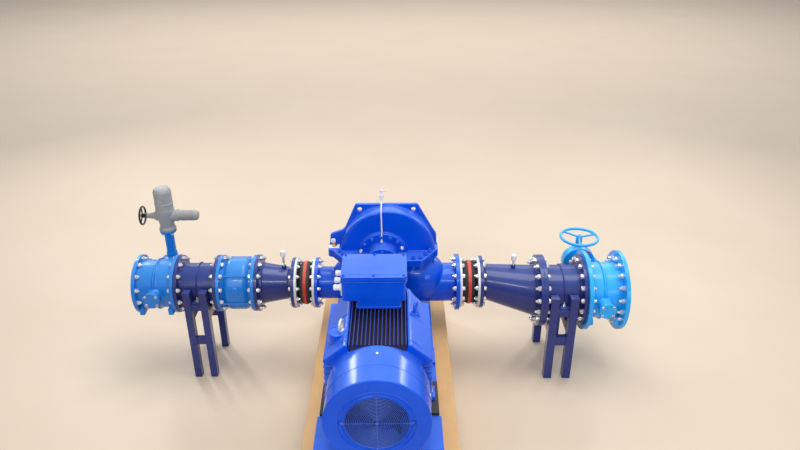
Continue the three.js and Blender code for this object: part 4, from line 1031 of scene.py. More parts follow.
addPiece("pump_shaft_turned", [onShaft([(-690, 0), (-690, 45), (490, 45), (490, 0)], 64, 2)], "shaftSteel",
         ("pump_shaft",), "rotor")
couplingHalves()
motorRotor()

# Motor: its ends, and half widths and heights over the shaft of its finned top, shoulders and core
motor = {"y0": -2045, "finEnd": -1300, "y1": -1100, "top": 370, "side": 390, "band": 222, "sideTop": 230,
         "core": 300, "low": 290, "skin": 15, "footZ": 975.3, "feet": ((-1800, -1660), (-1290, -1150))}
fins = {"top": 15, "topThick": 0.008, "topHigh": 0.074, "sides": 8, "pitch": 0.052, "sideX": 0.345,
        "sideWide": 0.088}
# Lifting eyes: the seat's place, height and radius, and the eye's own place
eyeBosses = {-1: (-296, -1870, 1690, 60), 1: (277, -1600, 1675, 30)}
eyePlaces = {-1: (-266, -1855), 1: (277, -1600)}


def mirrored(side, line):
    return [(side * x, *rest) for x, *rest in line]


def motorFoot(s, a, b):
    gusset = softened(mirrored(s, [(225, 1000), (386, 1000), (386, 1034), (300, shaftZ - 105),
                                   (225, shaftZ - 105)]), 4, closed=True)
    return [softBox(*spanOn(s, 215, 430), a, b, motor["footZ"], 1020, 12, 3),
            *(bar(gusset, "y", y, y + 20, 3) for y in (a + 10, b - 30)),
            softBox(*spanOn(s, 225, 350), a + 10, b - 10, 1000, shaftZ - 130, 8, 3)]


def motorBody():
    y0, y1, band, side = motor["y0"], motor["y1"], motor["band"], motor["side"]
    half, low, ledge = motor["core"] + motor["skin"], shaftZ - motor["low"], shaftZ + motor["sideTop"]
    section = softened([(-half + 60, low), (half - 60, low), (half, low + 60), (half, shaftZ + 205),
                        (band, shaftZ + 305), (-band, shaftZ + 305), (-half, shaftZ + 205), (-half, low + 60)],
                       18, closed=True)
    shells = [bar(section, "y", y0, motor["finEnd"], 6),
              solidRod("y", (0, 0, shaftZ), motor["finEnd"] - 20, y1, motor["core"], 96, 4)]
    end = motor["finEnd"]
    cornerLine = [(391, -1740), (379, -1570, 90), (350, -1415, 60), (318, -1368, 30), (270, -1350, 30),
                  (226, end, 10), (226, end + 40), (450, end + 40), (450, -1740)]
    shoulderLine = [(band - 36, shaftZ + 250), (band - 6, shaftZ + motor["top"] - 2, 8),
                    (band + 14, shaftZ + motor["top"] - 10, 10), (side, ledge, 10), (side, ledge - 16, 3),
                    (motor["core"], shaftZ + 178)]
    corners = []
    for s in (-1, 1):
        corner = softened(mirrored(s, cornerLine), 1, closed=True)
        corners.append(bar(corner, "z", shaftZ + 222, shaftZ + 420, 0))
        shells.append(bar(softened(mirrored(s, shoulderLine), 3, closed=True), "y", y0, end, 4))
        x, y, top, radius = eyeBosses[s]
        seat = [(shaftZ + 250, 0), (shaftZ + 250, radius), (top, radius, 4), (top, 0)]
        shells.append(standing(x, y, seat, 48, 4))
        for a, b in motor["feet"]:
            shells += motorFoot(s, a, b)
    shells.append(onShaft([(-2110, 0), (-2110, 300), (-2105, 364.2), (-2040, 364.2), (-2040, 0)], 96, 3))
    shells.append(softBox(-165, 165, -1500, end, shaftZ + 280, shaftZ + 369, 10, 3))
    castPiece("motor_body", shells, "cobaltPaint", ("motor_frame",), grid=6.9, rounds=4,
              cutters=[shaftBore(-2300, -700, 50.6), halfSpace(600, motor["footZ"]), *corners])


# Cooling fins along the top and both sides, and a dark floor between the top ones: painted shade in the fin
# gaps, with dust
def motorFins():
    y0, y1, half = motor["y0"], motor["finEnd"], motor["band"] - 22
    pitch = 2 * half / (fins["top"] - 1)
    # the top fins take the darkened paint: painted shade among the fins
    topRow = runTree("fins", "fins", [], {
        "Count": fins["top"], "Start": (-half * mm, (y0 + y1) / 2000, (shaftZ + 332) * mm),
        "Step": (pitch * mm, 0, 0), "Size": (fins["topThick"], (y1 - y0) * mm, fins["topHigh"]),
        "Metal": finish["shadedFinPaint"]})
    sideRows = [runTree("fins", "fins", [], {
        "Count": fins["sides"], "Start": (s * fins["sideX"], (y0 + y1 - 150) / 2000, (shaftZ + 174.5) * mm),
        "Step": (0, 0, -fins["pitch"]), "Size": (fins["sideWide"], (y1 - 150 - y0) * mm, fins["topThick"]),
        "Metal": finish["cobaltPaint"]}) for s in (-1, 1)]
    for name, look, row in (("motor_top_fins", "shadedFinPaint", [topRow]),
                            ("motor_side_fins", "cobaltPaint", sideRows)):
        joined = joinInto(name, row, look)
        joined.parent = None
        addModifier(joined, "tips", "BEVEL", width=0.002, segments=2)
        bake(joined)
        evenNormals(joined, 40)
        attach(joined, "pump_set")
    # dark floor under the top fins' gaps: painted shade, with dust
    floorHalf = motor["band"] - 3
    gapFloor = bar(rectangle(-floorHalf, floorHalf, shaftZ + 298, shaftZ + 308, 3), "y", y0 + 3, y1 - 3, 0.5)
    addPiece("fin_gap_dust", [gapFloor], "finGapShadeAndDust")
    # cast ridges across both shoulders
    ridgeLine = [(motor["band"] + 4, motor["top"] - 5), (motor["band"] + 20, motor["top"] - 12),
                 (motor["side"] - 6, motor["sideTop"] + 1)]
    ridges = [roundBar([(s * x, y, shaftZ + rise) for x, rise in ridgeLine], 2.4, 10)
              for s in (-1, 1) for y in (-1985, -1660)]
    addPiece("shoulder_ridges", ridges, "cobaltPaint")


# Fan cowl: a sheet with a rolled edge, a bead round its eye and a lip inside it
cowl = {"y0": -2430, "y1": -2070, "radius": 370, "inner": 364.7, "sheet": 5, "eye": 222, "inset": 14}


def fanCowl():
    y0, y1, radius, inner, sheet, eye, inset = cowl.values()
    skin = onShaft([
        (y0 + inset, eye, 1), (y0 + inset, eye + 30, 6), (y0, eye + 52, 8), (y0, radius - 1, 10),
        (-2267, radius - 0.5, 1), (-2264, radius + 2.5, 1.5), (-2256, radius + 2.5, 1.5),
        (-2253, radius - 0.5, 1), (y1 - 2, radius, 1), (y1, radius - 1, 0.5), (y1, inner, 0.5),
        (y0 + sheet, inner, 13), (y0 + sheet, eye + 54, 6), (y0 + inset + sheet, eye + 32, 4),
        (y0 + inset + sheet, eye, 1)], 128, 2, gap=12)
    bead = onShaft([(y0 + 9, 265), (y0 - 1, 265.5), (y0 - 4, 268, 2), (y0 - 4, 273, 2), (y0 - 1, 277, 1),
                    (y0 + 3, 277)], 128, 1)
    rolled = onShaft([(y0 + 5, radius - 3), (y0 + 5, radius + 1.5, 2), (y0 + 13, radius + 1.5, 2),
                      (y0 + 13, radius - 3)], 128, 1)
    lip = onShaft([(y0 + 15, 221), (y0 + 8, 220.5, 2), (y0 + 4.5, 224, 3), (y0 + 4.5, 229, 3),
                   (y0 + 12, 241, 2), (y0 + 15, 242)], 128, 1)
    addPiece("cowl_sheet", [skin, bead, rolled, lip], "cobaltPaint", ("fan_cowl",))


# Wire guard before the cowl's eye
guard = {"Rings": 17, "Inner": 0.028, "Step": 0.0118, "Wire": 0.0021, "Spokes": 4, "Reach": 0.246}


def fanGuard():
    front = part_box("fan_guard")[0].y + 0.003
    y = front * 1000
    quarters = (0, 90, 180, 270)
    wires = runTree("guard", "guard", [], {
        **guard, "Place": (0, front, shaftZ * mm), "Metal": finish["guardPaint"]})
    middle = shellObject("middle", [solidRod("y", (0, 0, shaftZ), y - 2, y + 3, 14, 32, 1)])
    tab = softBox(228, 254, y - 1, y + 5, shaftZ - 11, shaftZ + 11, 2, 1, axis="y")
    tabs = shellObject("tabs", [spun(tab, "y", (0, 0, shaftZ), a) for a in quarters])
    joinInto("guard_wires", [wires, middle, tabs], "guardPaint", nodes=("fan_guard",))
    screws = setOfNuts([(246 * math.cos(a), y - 1, shaftZ + 246 * math.sin(a))
                        for a in (0, math.pi / 2, math.pi, 1.5 * math.pi)], "-y", "M8", look="cobaltPaint")
    joinInto("guard_screws", [screws], "cobaltPaint")


def motorBolts():
    head = standing(0, -2140, [(shaftZ + 369, 0), (shaftZ + 369, 11), (shaftZ + 374, 10), (shaftZ + 376, 0)],
                    12, 1)
    bolts = [shellObject("screw", [spun(head, "y", (0, -2140, shaftZ), a)]) for a in (0, 90, 180, 270)]
    bolts.append(ringOfNuts((0, -1070, shaftZ), "+y", 8, 290, "M16", 0))
    bolts.append(setOfNuts([(s * 385, y, 1020) for s in (-1, 1) for y in (-1730, -1220)], "+z", "M30"))
    joinInto("motor_bolts", bolts)


motorBody()
motorFins()
driveShield = [(-1099.7, 50.8), (-1099.7, 310), (-1070, 310, 4), (-1067, 298, 3), (-1040, 235, 20),
               (-1038, 150, 6), (-1015, 140), (-1015, 50.8)]
addPiece("drive_shield", [onShaft(driveShield, 96, 3)], "cobaltPaint", ("motor_end_shield",))
fanCowl()
fanGuard()
motorBolts()

# Terminal box on its neck, with a lid, a seal between and a gland plate on its left
box = {"x0": -275, "x1": 205, "y0": -1595, "y1": -1250, "z0": 1766, "z1": 1935, "lid": 1978, "corner": 24,
       "neckFoot": 1700.3}
glands = {"x": -283.3, "z": 1848, "ys": (-1530, -1425, -1320)}


def boxBar(grow, corner, z0, z1, edge):
    outline = rectangle(box["x0"] - grow, box["x1"] + grow, box["y0"] - grow, box["y1"] + grow, corner, 12)
    return bar(outline, "z", z0, z1, edge)


def terminalBox():
    x0, x1, y0, y1, corner, z1, lid = (box[key] for key in ("x0", "x1", "y0", "y1", "corner", "z1", "lid"))
    neck = bar(rectangle(-160, 160, y0 + 5, -1305, 26), "z", box["neckFoot"], box["z0"] + 8, 3)
    neckFlange = bar(rectangle(-172, 172, y0 - 4, -1301, 26), "z", box["neckFoot"], 1714, 2)
    addPiece("connection_box", [
        boxBar(0, corner, box["z0"], z1 - 1.5, 4), boxBar(9, corner + 8, z1 - 12, z1 - 1.5, 2.5), neck,
        neckFlange], "cobaltPaint", ("terminal_box",))
    cover, panel = boxBar(6, corner + 6, z1 + 1.5, lid - 2, 6), boxBar(-34, 20, lid - 12, lid, 2)
    addPiece("connection_box_lid", [cover, panel], "cobaltPaint", ("terminal_box_lid",))
    addPiece("lid_seal", [boxBar(2, corner + 3, z1 - 2, z1 + 2, 0)], "rubber")
    screws = [(x, y, lid - 2) for x in (x0 + 16, x1 - 16) for y in (y0 + 16, y1 - 16)]
    screws += [((x0 + x1) / 2, y, lid - 2) for y in (y0 + 14, y1 - 14)]
    joinInto("lid_screws", [setOfNuts(screws, "+z", "M12")], "cobaltPaint")


# Gland plate with three glands, each with its hex body, cap and closed rubber
def glandPlate():
    x = glands["x"]
    shells, seals = [softBox(x, -275.3, -1575, -1270, 1798, 1898, 8, 1.5, axis="x")], []
    for y in glands["ys"]:
        at = (0, y, glands["z"])
        shells.append(turned("x", at, [(x, 0), (x, 26), (-297, 26), (-297, 0)], 6, 1))
        shells.append(turned("x", at, [(-296, 0), (-296, 21), (-316, 21), (-320, 24), (-334, 22, 4),
                                       (-341, 17, 3), (-341, 0)], 24, 1.5))
        seals.append(turned("x", at, [(-338, 0), (-338, 13), (-342.5, 11), (-342.5, 0)], 24, 1))
    addPiece("gland_plate", shells, "palePlastic", ("cable_glands",))
    addPiece("gland_seals", seals, "rubber")


def liftingEyes():
    for side, label, look in ((-1, "left", "galvanised"), (1, "right", "cobaltPaint")):
        x, y = eyePlaces[side]
        top = eyeBosses[side][2]
        ring = roundBar(arcPath("y", (x, 0, top + 48), 34, y, 0, 352.5, 47), 10.5, 14, closed=True)
        foot = standing(x, y, [(top + 0.3, 0), (top + 0.3, 24), (top + 9, 24, 3), (top + 17, 13, 6),
                               (top + 25, 10), (top + 25, 0)], 32)
        addPiece("eye_" + label, [spun(ring, "z", (x, y, 0), 75), foot], look, ("lifting_eye_" + label,))
    x, y, top, radius = eyeBosses[-1]
    rim = [(top - 30, radius - 6), (top - 30, radius + 3), (top - 2, radius + 3, 2), (top + 1.5, radius, 1.5),
           (top + 1.5, radius - 6, 1.5)]
    addPiece("eye_seat_rim", [standing(x, y, rim, 64, 1)], "cobaltPaint")


terminalBox()
glandPlate()
liftingEyes()
print("motor done")


# Rubber bellows with their rings and bands, all measured from the pump's face
def bellowsSet(side, face, sign, bore, ringRadius):
    neck = bore + 12

    def onTrain(profile, *rest, **named):
        return onNozzle([(face + sign * station, *more) for station, *more in profile], *rest, **named)

    for label, a, b in (("pump", 0.3, 24), ("pipe", 176, 199.7)):
        ring = onTrain([(a, ringRadius), (b, ringRadius), (b, neck + 0.3), (a, neck + 0.3)], 96, 2)
        addPiece(f"{side}_ring_{label}", [ring], "galvanised", (f"{side}_bellows_ring_{label}",))
    rubber = onTrain([
        (0.3, neck, 1), (24, neck, 4), (34, neck + 10, 8), (60, 206, 10), (78, 212, 6), (122, 212, 6),
        (140, 206, 10), (166, neck + 10, 8), (176, neck, 4), (199.7, neck, 1), (199.7, bore, 1),
        (142, bore, 20), (100, bore + 14, 20), (58, bore, 20), (0.3, bore, 1)], 96, gap=10)
    addPiece(f"{side}_rubber", [rubber], "rubber", (f"{side}_bellows",))
    lips = [onTrain([(a, neck + 1), (a, neck + 30), (a + 4, neck + 28), (a + 4, neck + 1)], 72, 1.5)
            for a in (24.2, 171.8)]
    addPiece(f"{side}_lips", lips, "rubber")
    band = onTrain([(84, 218, 2), (116, 218, 2), (116, 212.4, 1), (84, 212.4, 1)], 96)
    addPiece(f"{side}_band", [band], "redBand", (f"{side}_bellows_band",))


bellows = {"suction": {"face": 750, "sign": 1, "bore": 169, "ringRadius": 255},
           "discharge": {"face": -670, "sign": -1, "bore": 151, "ringRadius": 250}}
for side, values in bellows.items():
    bellowsSet(side, **values)


def weldBead(x, z, radius, size=6.0):
    line = ((-0.55, 0.5), (0, 0.75), (0.55, 0.5))
    return turned("x", (0, 0, z), [(x - size, radius - 2),
                                   *((x + size * a, radius + size * b) for a, b in line),
                                   (x + size, radius - 2)], 80, 1.5)


def flange(x0, x1, z, outer, inner):
    return turned("x", (0, 0, z), [(x0, outer), (x1, outer), (x1, inner), (x0, inner)], 96, 2.5)


# Pipe of changing size and height: rings of (x, centre height, radius), with a straight inside
def loftedPipe(stations, wall):
    segments = 96
    rings = stations + [(x, z, r - wall) for x, z, r in reversed(stations)]
    points = [swung("x", (0, 0, z), x, r, a) for x, z, r in rings for a in roundAngles(segments)]
    faces = []
    for k in range(len(rings)):
        first, second = k * segments, (k + 1) % len(rings) * segments
        faces += [(first + i, second + i, second + (i + 1) % segments, first + (i + 1) % segments)
                  for i in range(segments)]
    return facingOut((points, faces))


def transmitter(side, x, z0, height):
    top = z0 + height
    stem = standing(x, 0, [(z0 + 0.3, 0), (z0 + 0.3, 20), (z0 + 18, 20), (z0 + 18, 11), (top - 64, 11),
                           (top - 64, 0)], 24, 1.5)
    cap = standing(x, 0, [(top - 62, 0), (top - 62, 24, 3), (top - 52, 27, 3), (top - 24, 27, 1),
                          (top - 22, 25.5, 1), (top - 20, 27, 1), (top - 6, 26, 6), (top, 18, 5), (top, 0)], 40)
    addPiece(side + "_gauge_cap", [cap], "palePlastic", (side + "_transmitter",))
    addPiece(side + "_gauge_stem", [stem], "zincBolts")


# Straight pipe with a flange and a weld bead at each end
def spool(side, a, b, z, thick, outer, pipe, bore):
    barrel = turned("x", (0, 0, z), [(a, outer), (a + thick, outer), (a + thick, pipe, 3), (b - thick, pipe, 3),
                                     (b - thick, outer), (b, outer), (b, bore), (a, bore)], 112, 2.5)
    beads = [weldBead(x, z, pipe, 7) for x in (a + (thick + 1), b - (thick + 1))]
    addPiece(side + "_pipe", [barrel, *beads], "navyPaint", (side + "_spool",))


suctionCone = {"x0": 950.3, "x1": 1564.7, "small": 178, "large": 254, "steps": 12, "wall": 9, "bossX": 1290}


def suctionReducer():
    x0, x1, small, large, steps, wall, bossX = suctionCone.values()
    coneFrom, coneTo = x0 + 60, x1 - 70
    stations = [(x0 + 2, nozzleZ, small), (coneFrom - 10, nozzleZ, small), (coneFrom + 8, nozzleZ - 1.3, 179.4)]
    stations += [(coneFrom + (coneTo - coneFrom) * t, nozzleZ + (suctionZ - nozzleZ) * t,
                  small + (large - small) * t) for t in (i / steps for i in range(1, steps))]
    stations += [(coneTo - 8, suctionZ + 1.3, 252.7), (coneTo + 10, suctionZ, large), (x1 - 2, suctionZ, large)]
    flanges = [flange(x0, x0 + 32, nozzleZ, 260, 169.5), flange(x1 - 36, x1, suctionZ, 357.5, 245.5)]
    beads = [weldBead(x0 + 33, nozzleZ, small, 7), weldBead(coneFrom, nozzleZ, small),
             weldBead(coneTo, suctionZ, large), weldBead(x1 - 37, suctionZ, large, 8)]
    boss = standing(bossX, 0, [(1100, 0), (1100, 24), (1140, 22), (1146, 20), (1146, 0)], 32, 2)
    addPiece("suction_cone", [loftedPipe(stations, wall), *flanges, *beads, boss], "navyPaint",
             ("suction_reducer",))
    transmitter("suction", bossX, 1146, 112)


dischargeCone = {"x0": -1254.7, "x1": -870.3, "large": 203, "small": 160, "bossX": -985}


def dischargeReducer():
    x0, x1, large, small, bossX = dischargeCone.values()
    cone = onNozzle([
        (x0, 282.5), (x0 + 32, 282.5), (x0 + 32, large, 3), (x0 + 70, large, 12), (x1 - 70, small, 12),
        (x1 - 32, small, 3), (x1 - 32, 252.5), (x1, 252.5), (x1, 151), (x1 - 70, 151, 10), (x0 + 70, 194, 10),
        (x0, 194)], 112, 2.5)
    beads = [weldBead(x0 + 33, nozzleZ, large, 7), weldBead(x0 + 70, nozzleZ, large),
             weldBead(x1 - 70, nozzleZ, small), weldBead(x1 - 33, nozzleZ, small, 7)]
    boss = standing(bossX, 0, [(1096, 0), (1096, 24), (1142, 22), (1150, 20), (1150, 0)], 32, 2)
    addPiece("discharge_cone", [cone, *beads, boss], "navyPaint", ("discharge_reducer",))
    transmitter("discharge", bossX, 1150, 166)


checkValve = {"x0": -1619.7, "x1": -1255, "flange": 282.5, "neck": 222, "belly": 262, "bore": 194,
              "inside": 225}


def checkValveBody():
    a, b, outer, neck, belly, bore, inside = checkValve.values()
    body = onNozzle([
        (a, outer), (a + 32, outer), (a + 32, neck, 6), (a + 62, 226, 20), (a + 100, belly, 60),
        (b - 100, belly, 60), (b - 62, 226, 20), (b - 32, neck, 6), (b - 32, outer), (b, outer), (b, bore),
        (b - 110, inside, 20), (a + 110, inside, 20), (a, bore)], 128, 2.5, gap=12)
    lugs = []
    for s in (-1, 1):
        lugs.append(solidRod("y", (-1437, 0, nozzleZ + 60), *spanOn(s, 235, 268), 34, 32, 3))
        lugs.append(softBox(-1560, -1315, *spanOn(s, 245, 262), nozzleZ - 92, nozzleZ - 78, 3, 3, axis="x"))
    rib = softBox(-1546, -1330, -7, 7, nozzleZ + 240, nozzleZ + 274, 3, 4, axis="x")
    lugs += [spun(rib, "x", (0, 0, nozzleZ), angle) for angle in (-45, 45)]
    # the check valve takes the sky paint darkened as painted shade
    addPiece("check_valve_body", [body, *lugs], "shadedSkyPaint", ("check_valve",))


spools = {"suction": {"a": 1565, "b": 1984.7, "z": suctionZ, "thick": 36, "outer": 357.5, "pipe": 254,
                      "bore": 245},
          "discharge": {"a": -2029.7, "b": -1620, "z": nozzleZ, "thick": 32, "outer": 282.5, "pipe": 203,
                        "bore": 194}}
suctionReducer()
spool("suction", **spools["suction"])
dischargeReducer()
checkValveBody()
spool("discharge", **spools["discharge"])


# Pipe stands with their round clamps
def standSet(side, x, pipeZ, pipeR, postY, top):
    roundedNode(side + "_stand", "navyPaint", 7.0, 3)
    wire = 6
    ring = pipeR + wire + 0.5
    middle = (top + pipeZ) / 2
    path = [(x, -ring, top - 30), (x, -ring, middle), *arcPath("x", (0, 0, pipeZ), ring, x, 180, 0, 48),
            (x, ring, middle), (x, ring, top - 30)]
    addPiece(side + "_clamp", [roundBar(path, wire, 12)], "navyPaint")
    ends = [roundBar([(x, s * ring, top - 34), (x, s * ring, top + 62)], wire + 1.2, 12) for s in (-1, 1)]
    addPiece(side + "_clamp_threads", ends, "zincBolts")
    lugs = [softBox(x - 42, x + 42, *spanOn(s, ring - 26, postY + 8), top, top + 12, 6, 2) for s in (-1, 1)]
    addPiece(side + "_clamp_lugs", lugs, "navyPaint")
    joinInto(side + "_clamp_nuts", [setOfNuts([(x, s * ring, z) for s in (-1, 1)], facing, "M20", stud)
                                    for z, facing, stud in ((top + 12, "+z", 0), (top, "-z", 14))])


stands = {"suction": {"x": 1772, "pipeZ": suctionZ, "pipeR": 254, "postY": 305, "top": 810},
          "discharge": {"x": -1825, "pipeZ": nozzleZ, "pipeR": 203, "postY": 255, "top": 860}}
for side, values in stands.items():
    standSet(side, **values)
print("pipes and stands done")

# Butterfly valves: ends, bore and radii, and where the stem's boss and the stem itself end
valves = {
    "suction": {"look": "skyPaint", "x0": 1985, "x1": 2375, "z": suctionZ, "bore": 245, "thick": 40,
                "flange": 398, "barrel": 280, "stemX": 2165, "front": -405, "rear": 392, "disc": 237,
                "stemEnd": 457},
    # the discharge valve takes the sky paint darkened as painted shade
    "discharge": {"look": "shadedSkyPaint", "x0": -2430, "x1": -2030, "z": nozzleZ, "bore": 194, "thick": 34,
                  "flange": 290, "barrel": 240, "stemX": -2230, "front": -335, "rear": 285, "disc": 186,
                  "stemEnd": 345},
}


def butterflyValve(side):
    look, x0, x1, z, bore, thick, outer, barrelR, x, front, rear, discR, stemEnd = valves[side].values()
    at, stem = (0, 0, z), (x, 0, z)
    barrel = turned("x", at, [(x0 + 8, 0), (x0 + 8, barrelR), (x1 - 8, barrelR), (x1 - 8, 0)], 112, 6)
    rib = turned("x", at, [(x - 9, 0), (x - 9, barrelR + 16), (x + 9, barrelR + 16), (x + 9, 0)], 112, 4)
    boss = turned("y", stem, [(front, 0), (front, 84), (front + 28, 84), (front + 30, 68, 12),
                              (rear - 30, 68, 8), (rear - 30, 90), (rear - 0.3, 90), (rear - 0.3, 0)], 64, 3)
    foot = barrelR * 0.72
    feet = [softBox(middle - 26, middle + 26, *spanOn(s, foot, foot + 86), z - foot - 40, z - foot + 30, 10, 4)
            for s in (-1, 1) for middle in (x0 + thick + 26, x1 - thick - 26)]
    arm = softBox(x - 7, x + 7, front * 0.97, front * 0.6, z - 8, z + 8, 3, 3)
    arms = [spun(arm, "y", stem, a) for a in (40, -40)]
    cutters = [solidRod("x", at, x0 - 20, x1 + 20, bore + 1, 96, 0),
               solidRod("y", stem, front + 20, rear + 30, 28.4, 32, 0)]
    castPiece(side + "_valve_casting", [barrel, rib, boss, *feet, *arms], look, (side + "_valve_body",),
              grid=5.5, rounds=5, cutters=cutters)
    rings = [turned("x", at, [(a, outer), (b, outer), (b, bore + 0.5), (a, bore + 0.5)], 112, 3)
             for a, b in ((x0, x0 + thick), (x1 - thick, x1))]
    addPiece(side + "_valve_flanges", rings, look)
    disc = turned("x", at, [
        (x - 30, 0), (x - 30, discR * 0.45, 10), (x - 12, discR - 8, 3), (x - 8, discR, 1), (x + 8, discR, 1),
        (x + 12, discR - 8, 3), (x + 30, discR * 0.45, 10), (x + 30, 0)], 96, 2)
    spindle = solidRod("y", stem, front + 24, stemEnd, 28, 48, 1)
    hubs = [solidRod("y", stem, *spanOn(s, 95, discR - 22), 42, 40, 6) for s in (-1, 1)]
    addPiece(side + "_disc", [disc, spindle, *hubs], "discSteel", (side + "_valve_disc",), side + "_disc")
    cap = setOfNuts([(x + dx, front, z + dz) for dx in (-52, 52) for dz in (-46, 46)], "-y", "M16", 0)
    joinInto(side + "_stem_cap_bolts", [cap])


butterflyValve("suction")
butterflyValve("discharge")

# Worm gear and handwheel behind the suction valve
gear = {"stemX": 2165, "caseX": 2060, "caseZ": 925, "wormX": 2050, "wormY": 470, "boltCircle": 150,
        "boltAngles": (60, 110, 150, 190, 230)}


def suctionGear():
    stemX, caseX, caseZ, wormX, wormY, boltCircle, boltAngles = gear.values()
    at = (stemX, 0, suctionZ)
    quadrant = turned("y", at, [(392, 0), (392, 128), (506, 128, 10), (524, 100, 8), (524, 0)], 72, 3)
    case = turned("y", (caseX, 0, caseZ), [(402, 0), (402, 170), (500, 170, 4), (512, 156, 6), (512, 0)], 80, 4)
    worm = standing(wormX, wormY, [(760, 0), (760, 52), (770, 70), (1075, 70), (1085, 54, 6), (1100, 36),
                                   (1100, 0)], 64, 5)
    webPlate = softBox(wormX, stemX, 417, 520, 770, 975, 20, 8)
    castPiece("suction_gear_case", [case, quadrant, worm, webPlate], "skyPaint", ("suction_gearbox",), grid=5,
              rounds=5, cutters=[solidRod("y", at, 380, 464, 28.4, 32, 0),
                                 solidRod("z", (wormX, wormY, 0), 985, 1165, 14.4, 24, 0)])
    places = [(caseX + boltCircle * math.cos(a), 512, caseZ + boltCircle * math.sin(a))
              for a in (math.radians(d) for d in boltAngles)]
    joinInto("suction_gear_bolts", [
        ringOfNuts((stemX, 524, suctionZ), "+y", 6, 84, "M12", turn=0.3),
        ringOfNuts((wormX, wormY, 760), "-z", 4, 38, "M8"), setOfNuts(places, "+y", "M8")])
    pointer = turned("y", (2145, 0, 1056), [(404, 0), (404, 15), (396, 15), (390, 10, 3), (388, 0)], 32, 2)
    addPiece("gear_pointer", [pointer], "redBand")


# A handwheel's rim and its straight arms
def wheelShells(axis, centre, radius, wire, arms, start=90):
    station, reach = centre["xyz".index(axis)], radius - wire
    shells = [roundBar(arcPath(axis, centre, reach, station, 0, 355, 71), wire, 18, closed=True)]
    for i in range(arms):
        angle = 2 * math.pi * i / arms + math.radians(start)
        path = [swung(axis, centre, station, t * reach, angle) for t in (0.0, 0.25, 0.5, 0.75, 1.0)]
        shells.append(roundBar(path, wire * 0.72, 14))
    return shells


def suctionWheel():
    x, y = gear["wormX"], gear["wormY"]
    hub = standing(x, y, [(995, 0), (995, 14), (1106, 14), (1106, 34), (1186, 34, 6), (1214, 24, 6),
                          (1224, 14, 3), (1224, 0)], 40, 2)
    addPiece("suction_wheel_rim", [*wheelShells("z", (x, y, 1200), 205, 15, 3, 18), hub], "skyPaint",
             ("suction_handwheel",), "suction_wheel")
    joinInto("suction_wheel_nut", [setOfNuts([(x, y, 1222)], "+z", "M16", 4)], body="suction_wheel")


suctionGear()
suctionWheel()

# Electric actuator on its gearbox: its upright axis, its motor's line and the bottoms of its two cases
drive = {"x": -2205, "y": 372, "z": 1525, "housing": 1370.3, "controls": 1591.3}


def actuatorGear():
    at = (-2230, 0, nozzleZ)
    quadrant = turned("y", at, [(285, 0), (285, 120), (394, 120, 10), (412, 94, 8), (412, 0)], 72, 3)
    worm = standing(drive["x"], drive["y"], [
        (850, 0), (850, 40), (860, 56), (1100, 56), (1125, 48, 10), (1345, 48, 4), (1345, 84, 2), (1370, 84, 2),
        (1370, 0)], 56, 4)
    webPlate = softBox(-2270, -2165, 305, 402, 870, 1060, 16, 8)
    # the gearbox takes the sky paint darkened as painted shade
    castPiece("actuator_gear_case", [quadrant, worm, webPlate], "shadedSkyPaint", ("discharge_gearbox",), grid=5,
              rounds=4, cutters=[solidRod("y", at, 275, 352, 28.4, 32, 0)])


def actuator():
    x, y, z, z0, z1 = drive.values()
    line = (0, y, z)
    body = standing(x, y, [(z0, 0), (z0, 84, 2), (z0 + 24, 84, 3), (z0 + 38, 70, 8), (1500, 80, 20),
                           (1574, 92, 6), (1591, 92, 2), (1591, 0)], 72, 3)
    motorCase = turned("x", line, [(x, 0), (x, 58), (-2092, 58, 2), (-2090, 63, 2), (-2080, 63, 2),
                                   (-2078, 50, 2), (-1892, 50, 6), (-1873, 38, 8), (-1873, 0)], 64, 3)
    sideLine = [(-2395, 0), (-2395, 26), (-2325, 34, 6), (-2295, 52, 4), (x, 52), (x, 0)]
    wheelSide = turned("x", line, sideLine, 48, 3)
    castPiece("actuator_case", [body, motorCase, wheelSide], "actuatorGrey", ("actuator_housing",), grid=4,
              rounds=4, cutters=[solidRod("x", line, -2420, -2315, 11.4, 24, 0)])
    ribs = [turned("x", line, [(a, 48), (a, 53.5), (a + 5, 53.5), (a + 5, 48)], 64, 1.5)
            for a in range(-2060, -1905, 16)]
    addPiece("actuator_motor_ribs", ribs, "actuatorGrey")
    controls = standing(x, y, [
        (z1, 0), (z1, 92, 2), (1604, 92, 2), (1606, 88, 2), (1660, 88), (1662, 92, 2), (1674, 92, 2),
        (1676, 88, 2), (1795, 88, 14), (1825, 74, 12), (1837, 45, 6), (1837, 0)], 80, 3)
    windowLine = [(286, 0), (286, 38, 3), (279, 36, 3), (279, 30, 2), (282, 28, 1), (282, 0)]
    window = turned("y", (x, 0, 1740), windowLine, 40)
    addPiece("actuator_control_case", [controls, window], "actuatorGrey", ("actuator_controls",))
    joinInto("actuator_bolts", [ringOfNuts((x, y, 1370), "-z", 4, 66, "M12"),
                                ringOfNuts((x, y, 1345), "-z", 4, 68, "M16", 6),
                                ringOfNuts((-2080, y, z), "+x", 4, 57, "M6")])
    hub = turned("x", line, [(-2454, 0), (-2454, 20, 3), (-2410, 24, 3), (-2410, 11, 1), (-2325, 11, 1),
                             (-2325, 0)], 40)
    addPiece("actuator_wheel_rim", [*wheelShells("x", (-2440, y, z), 100, 10, 3), hub], "blackWheel",
             ("actuator_handwheel",), "actuator_wheel")


actuatorGear()
actuator()
print("valves done")

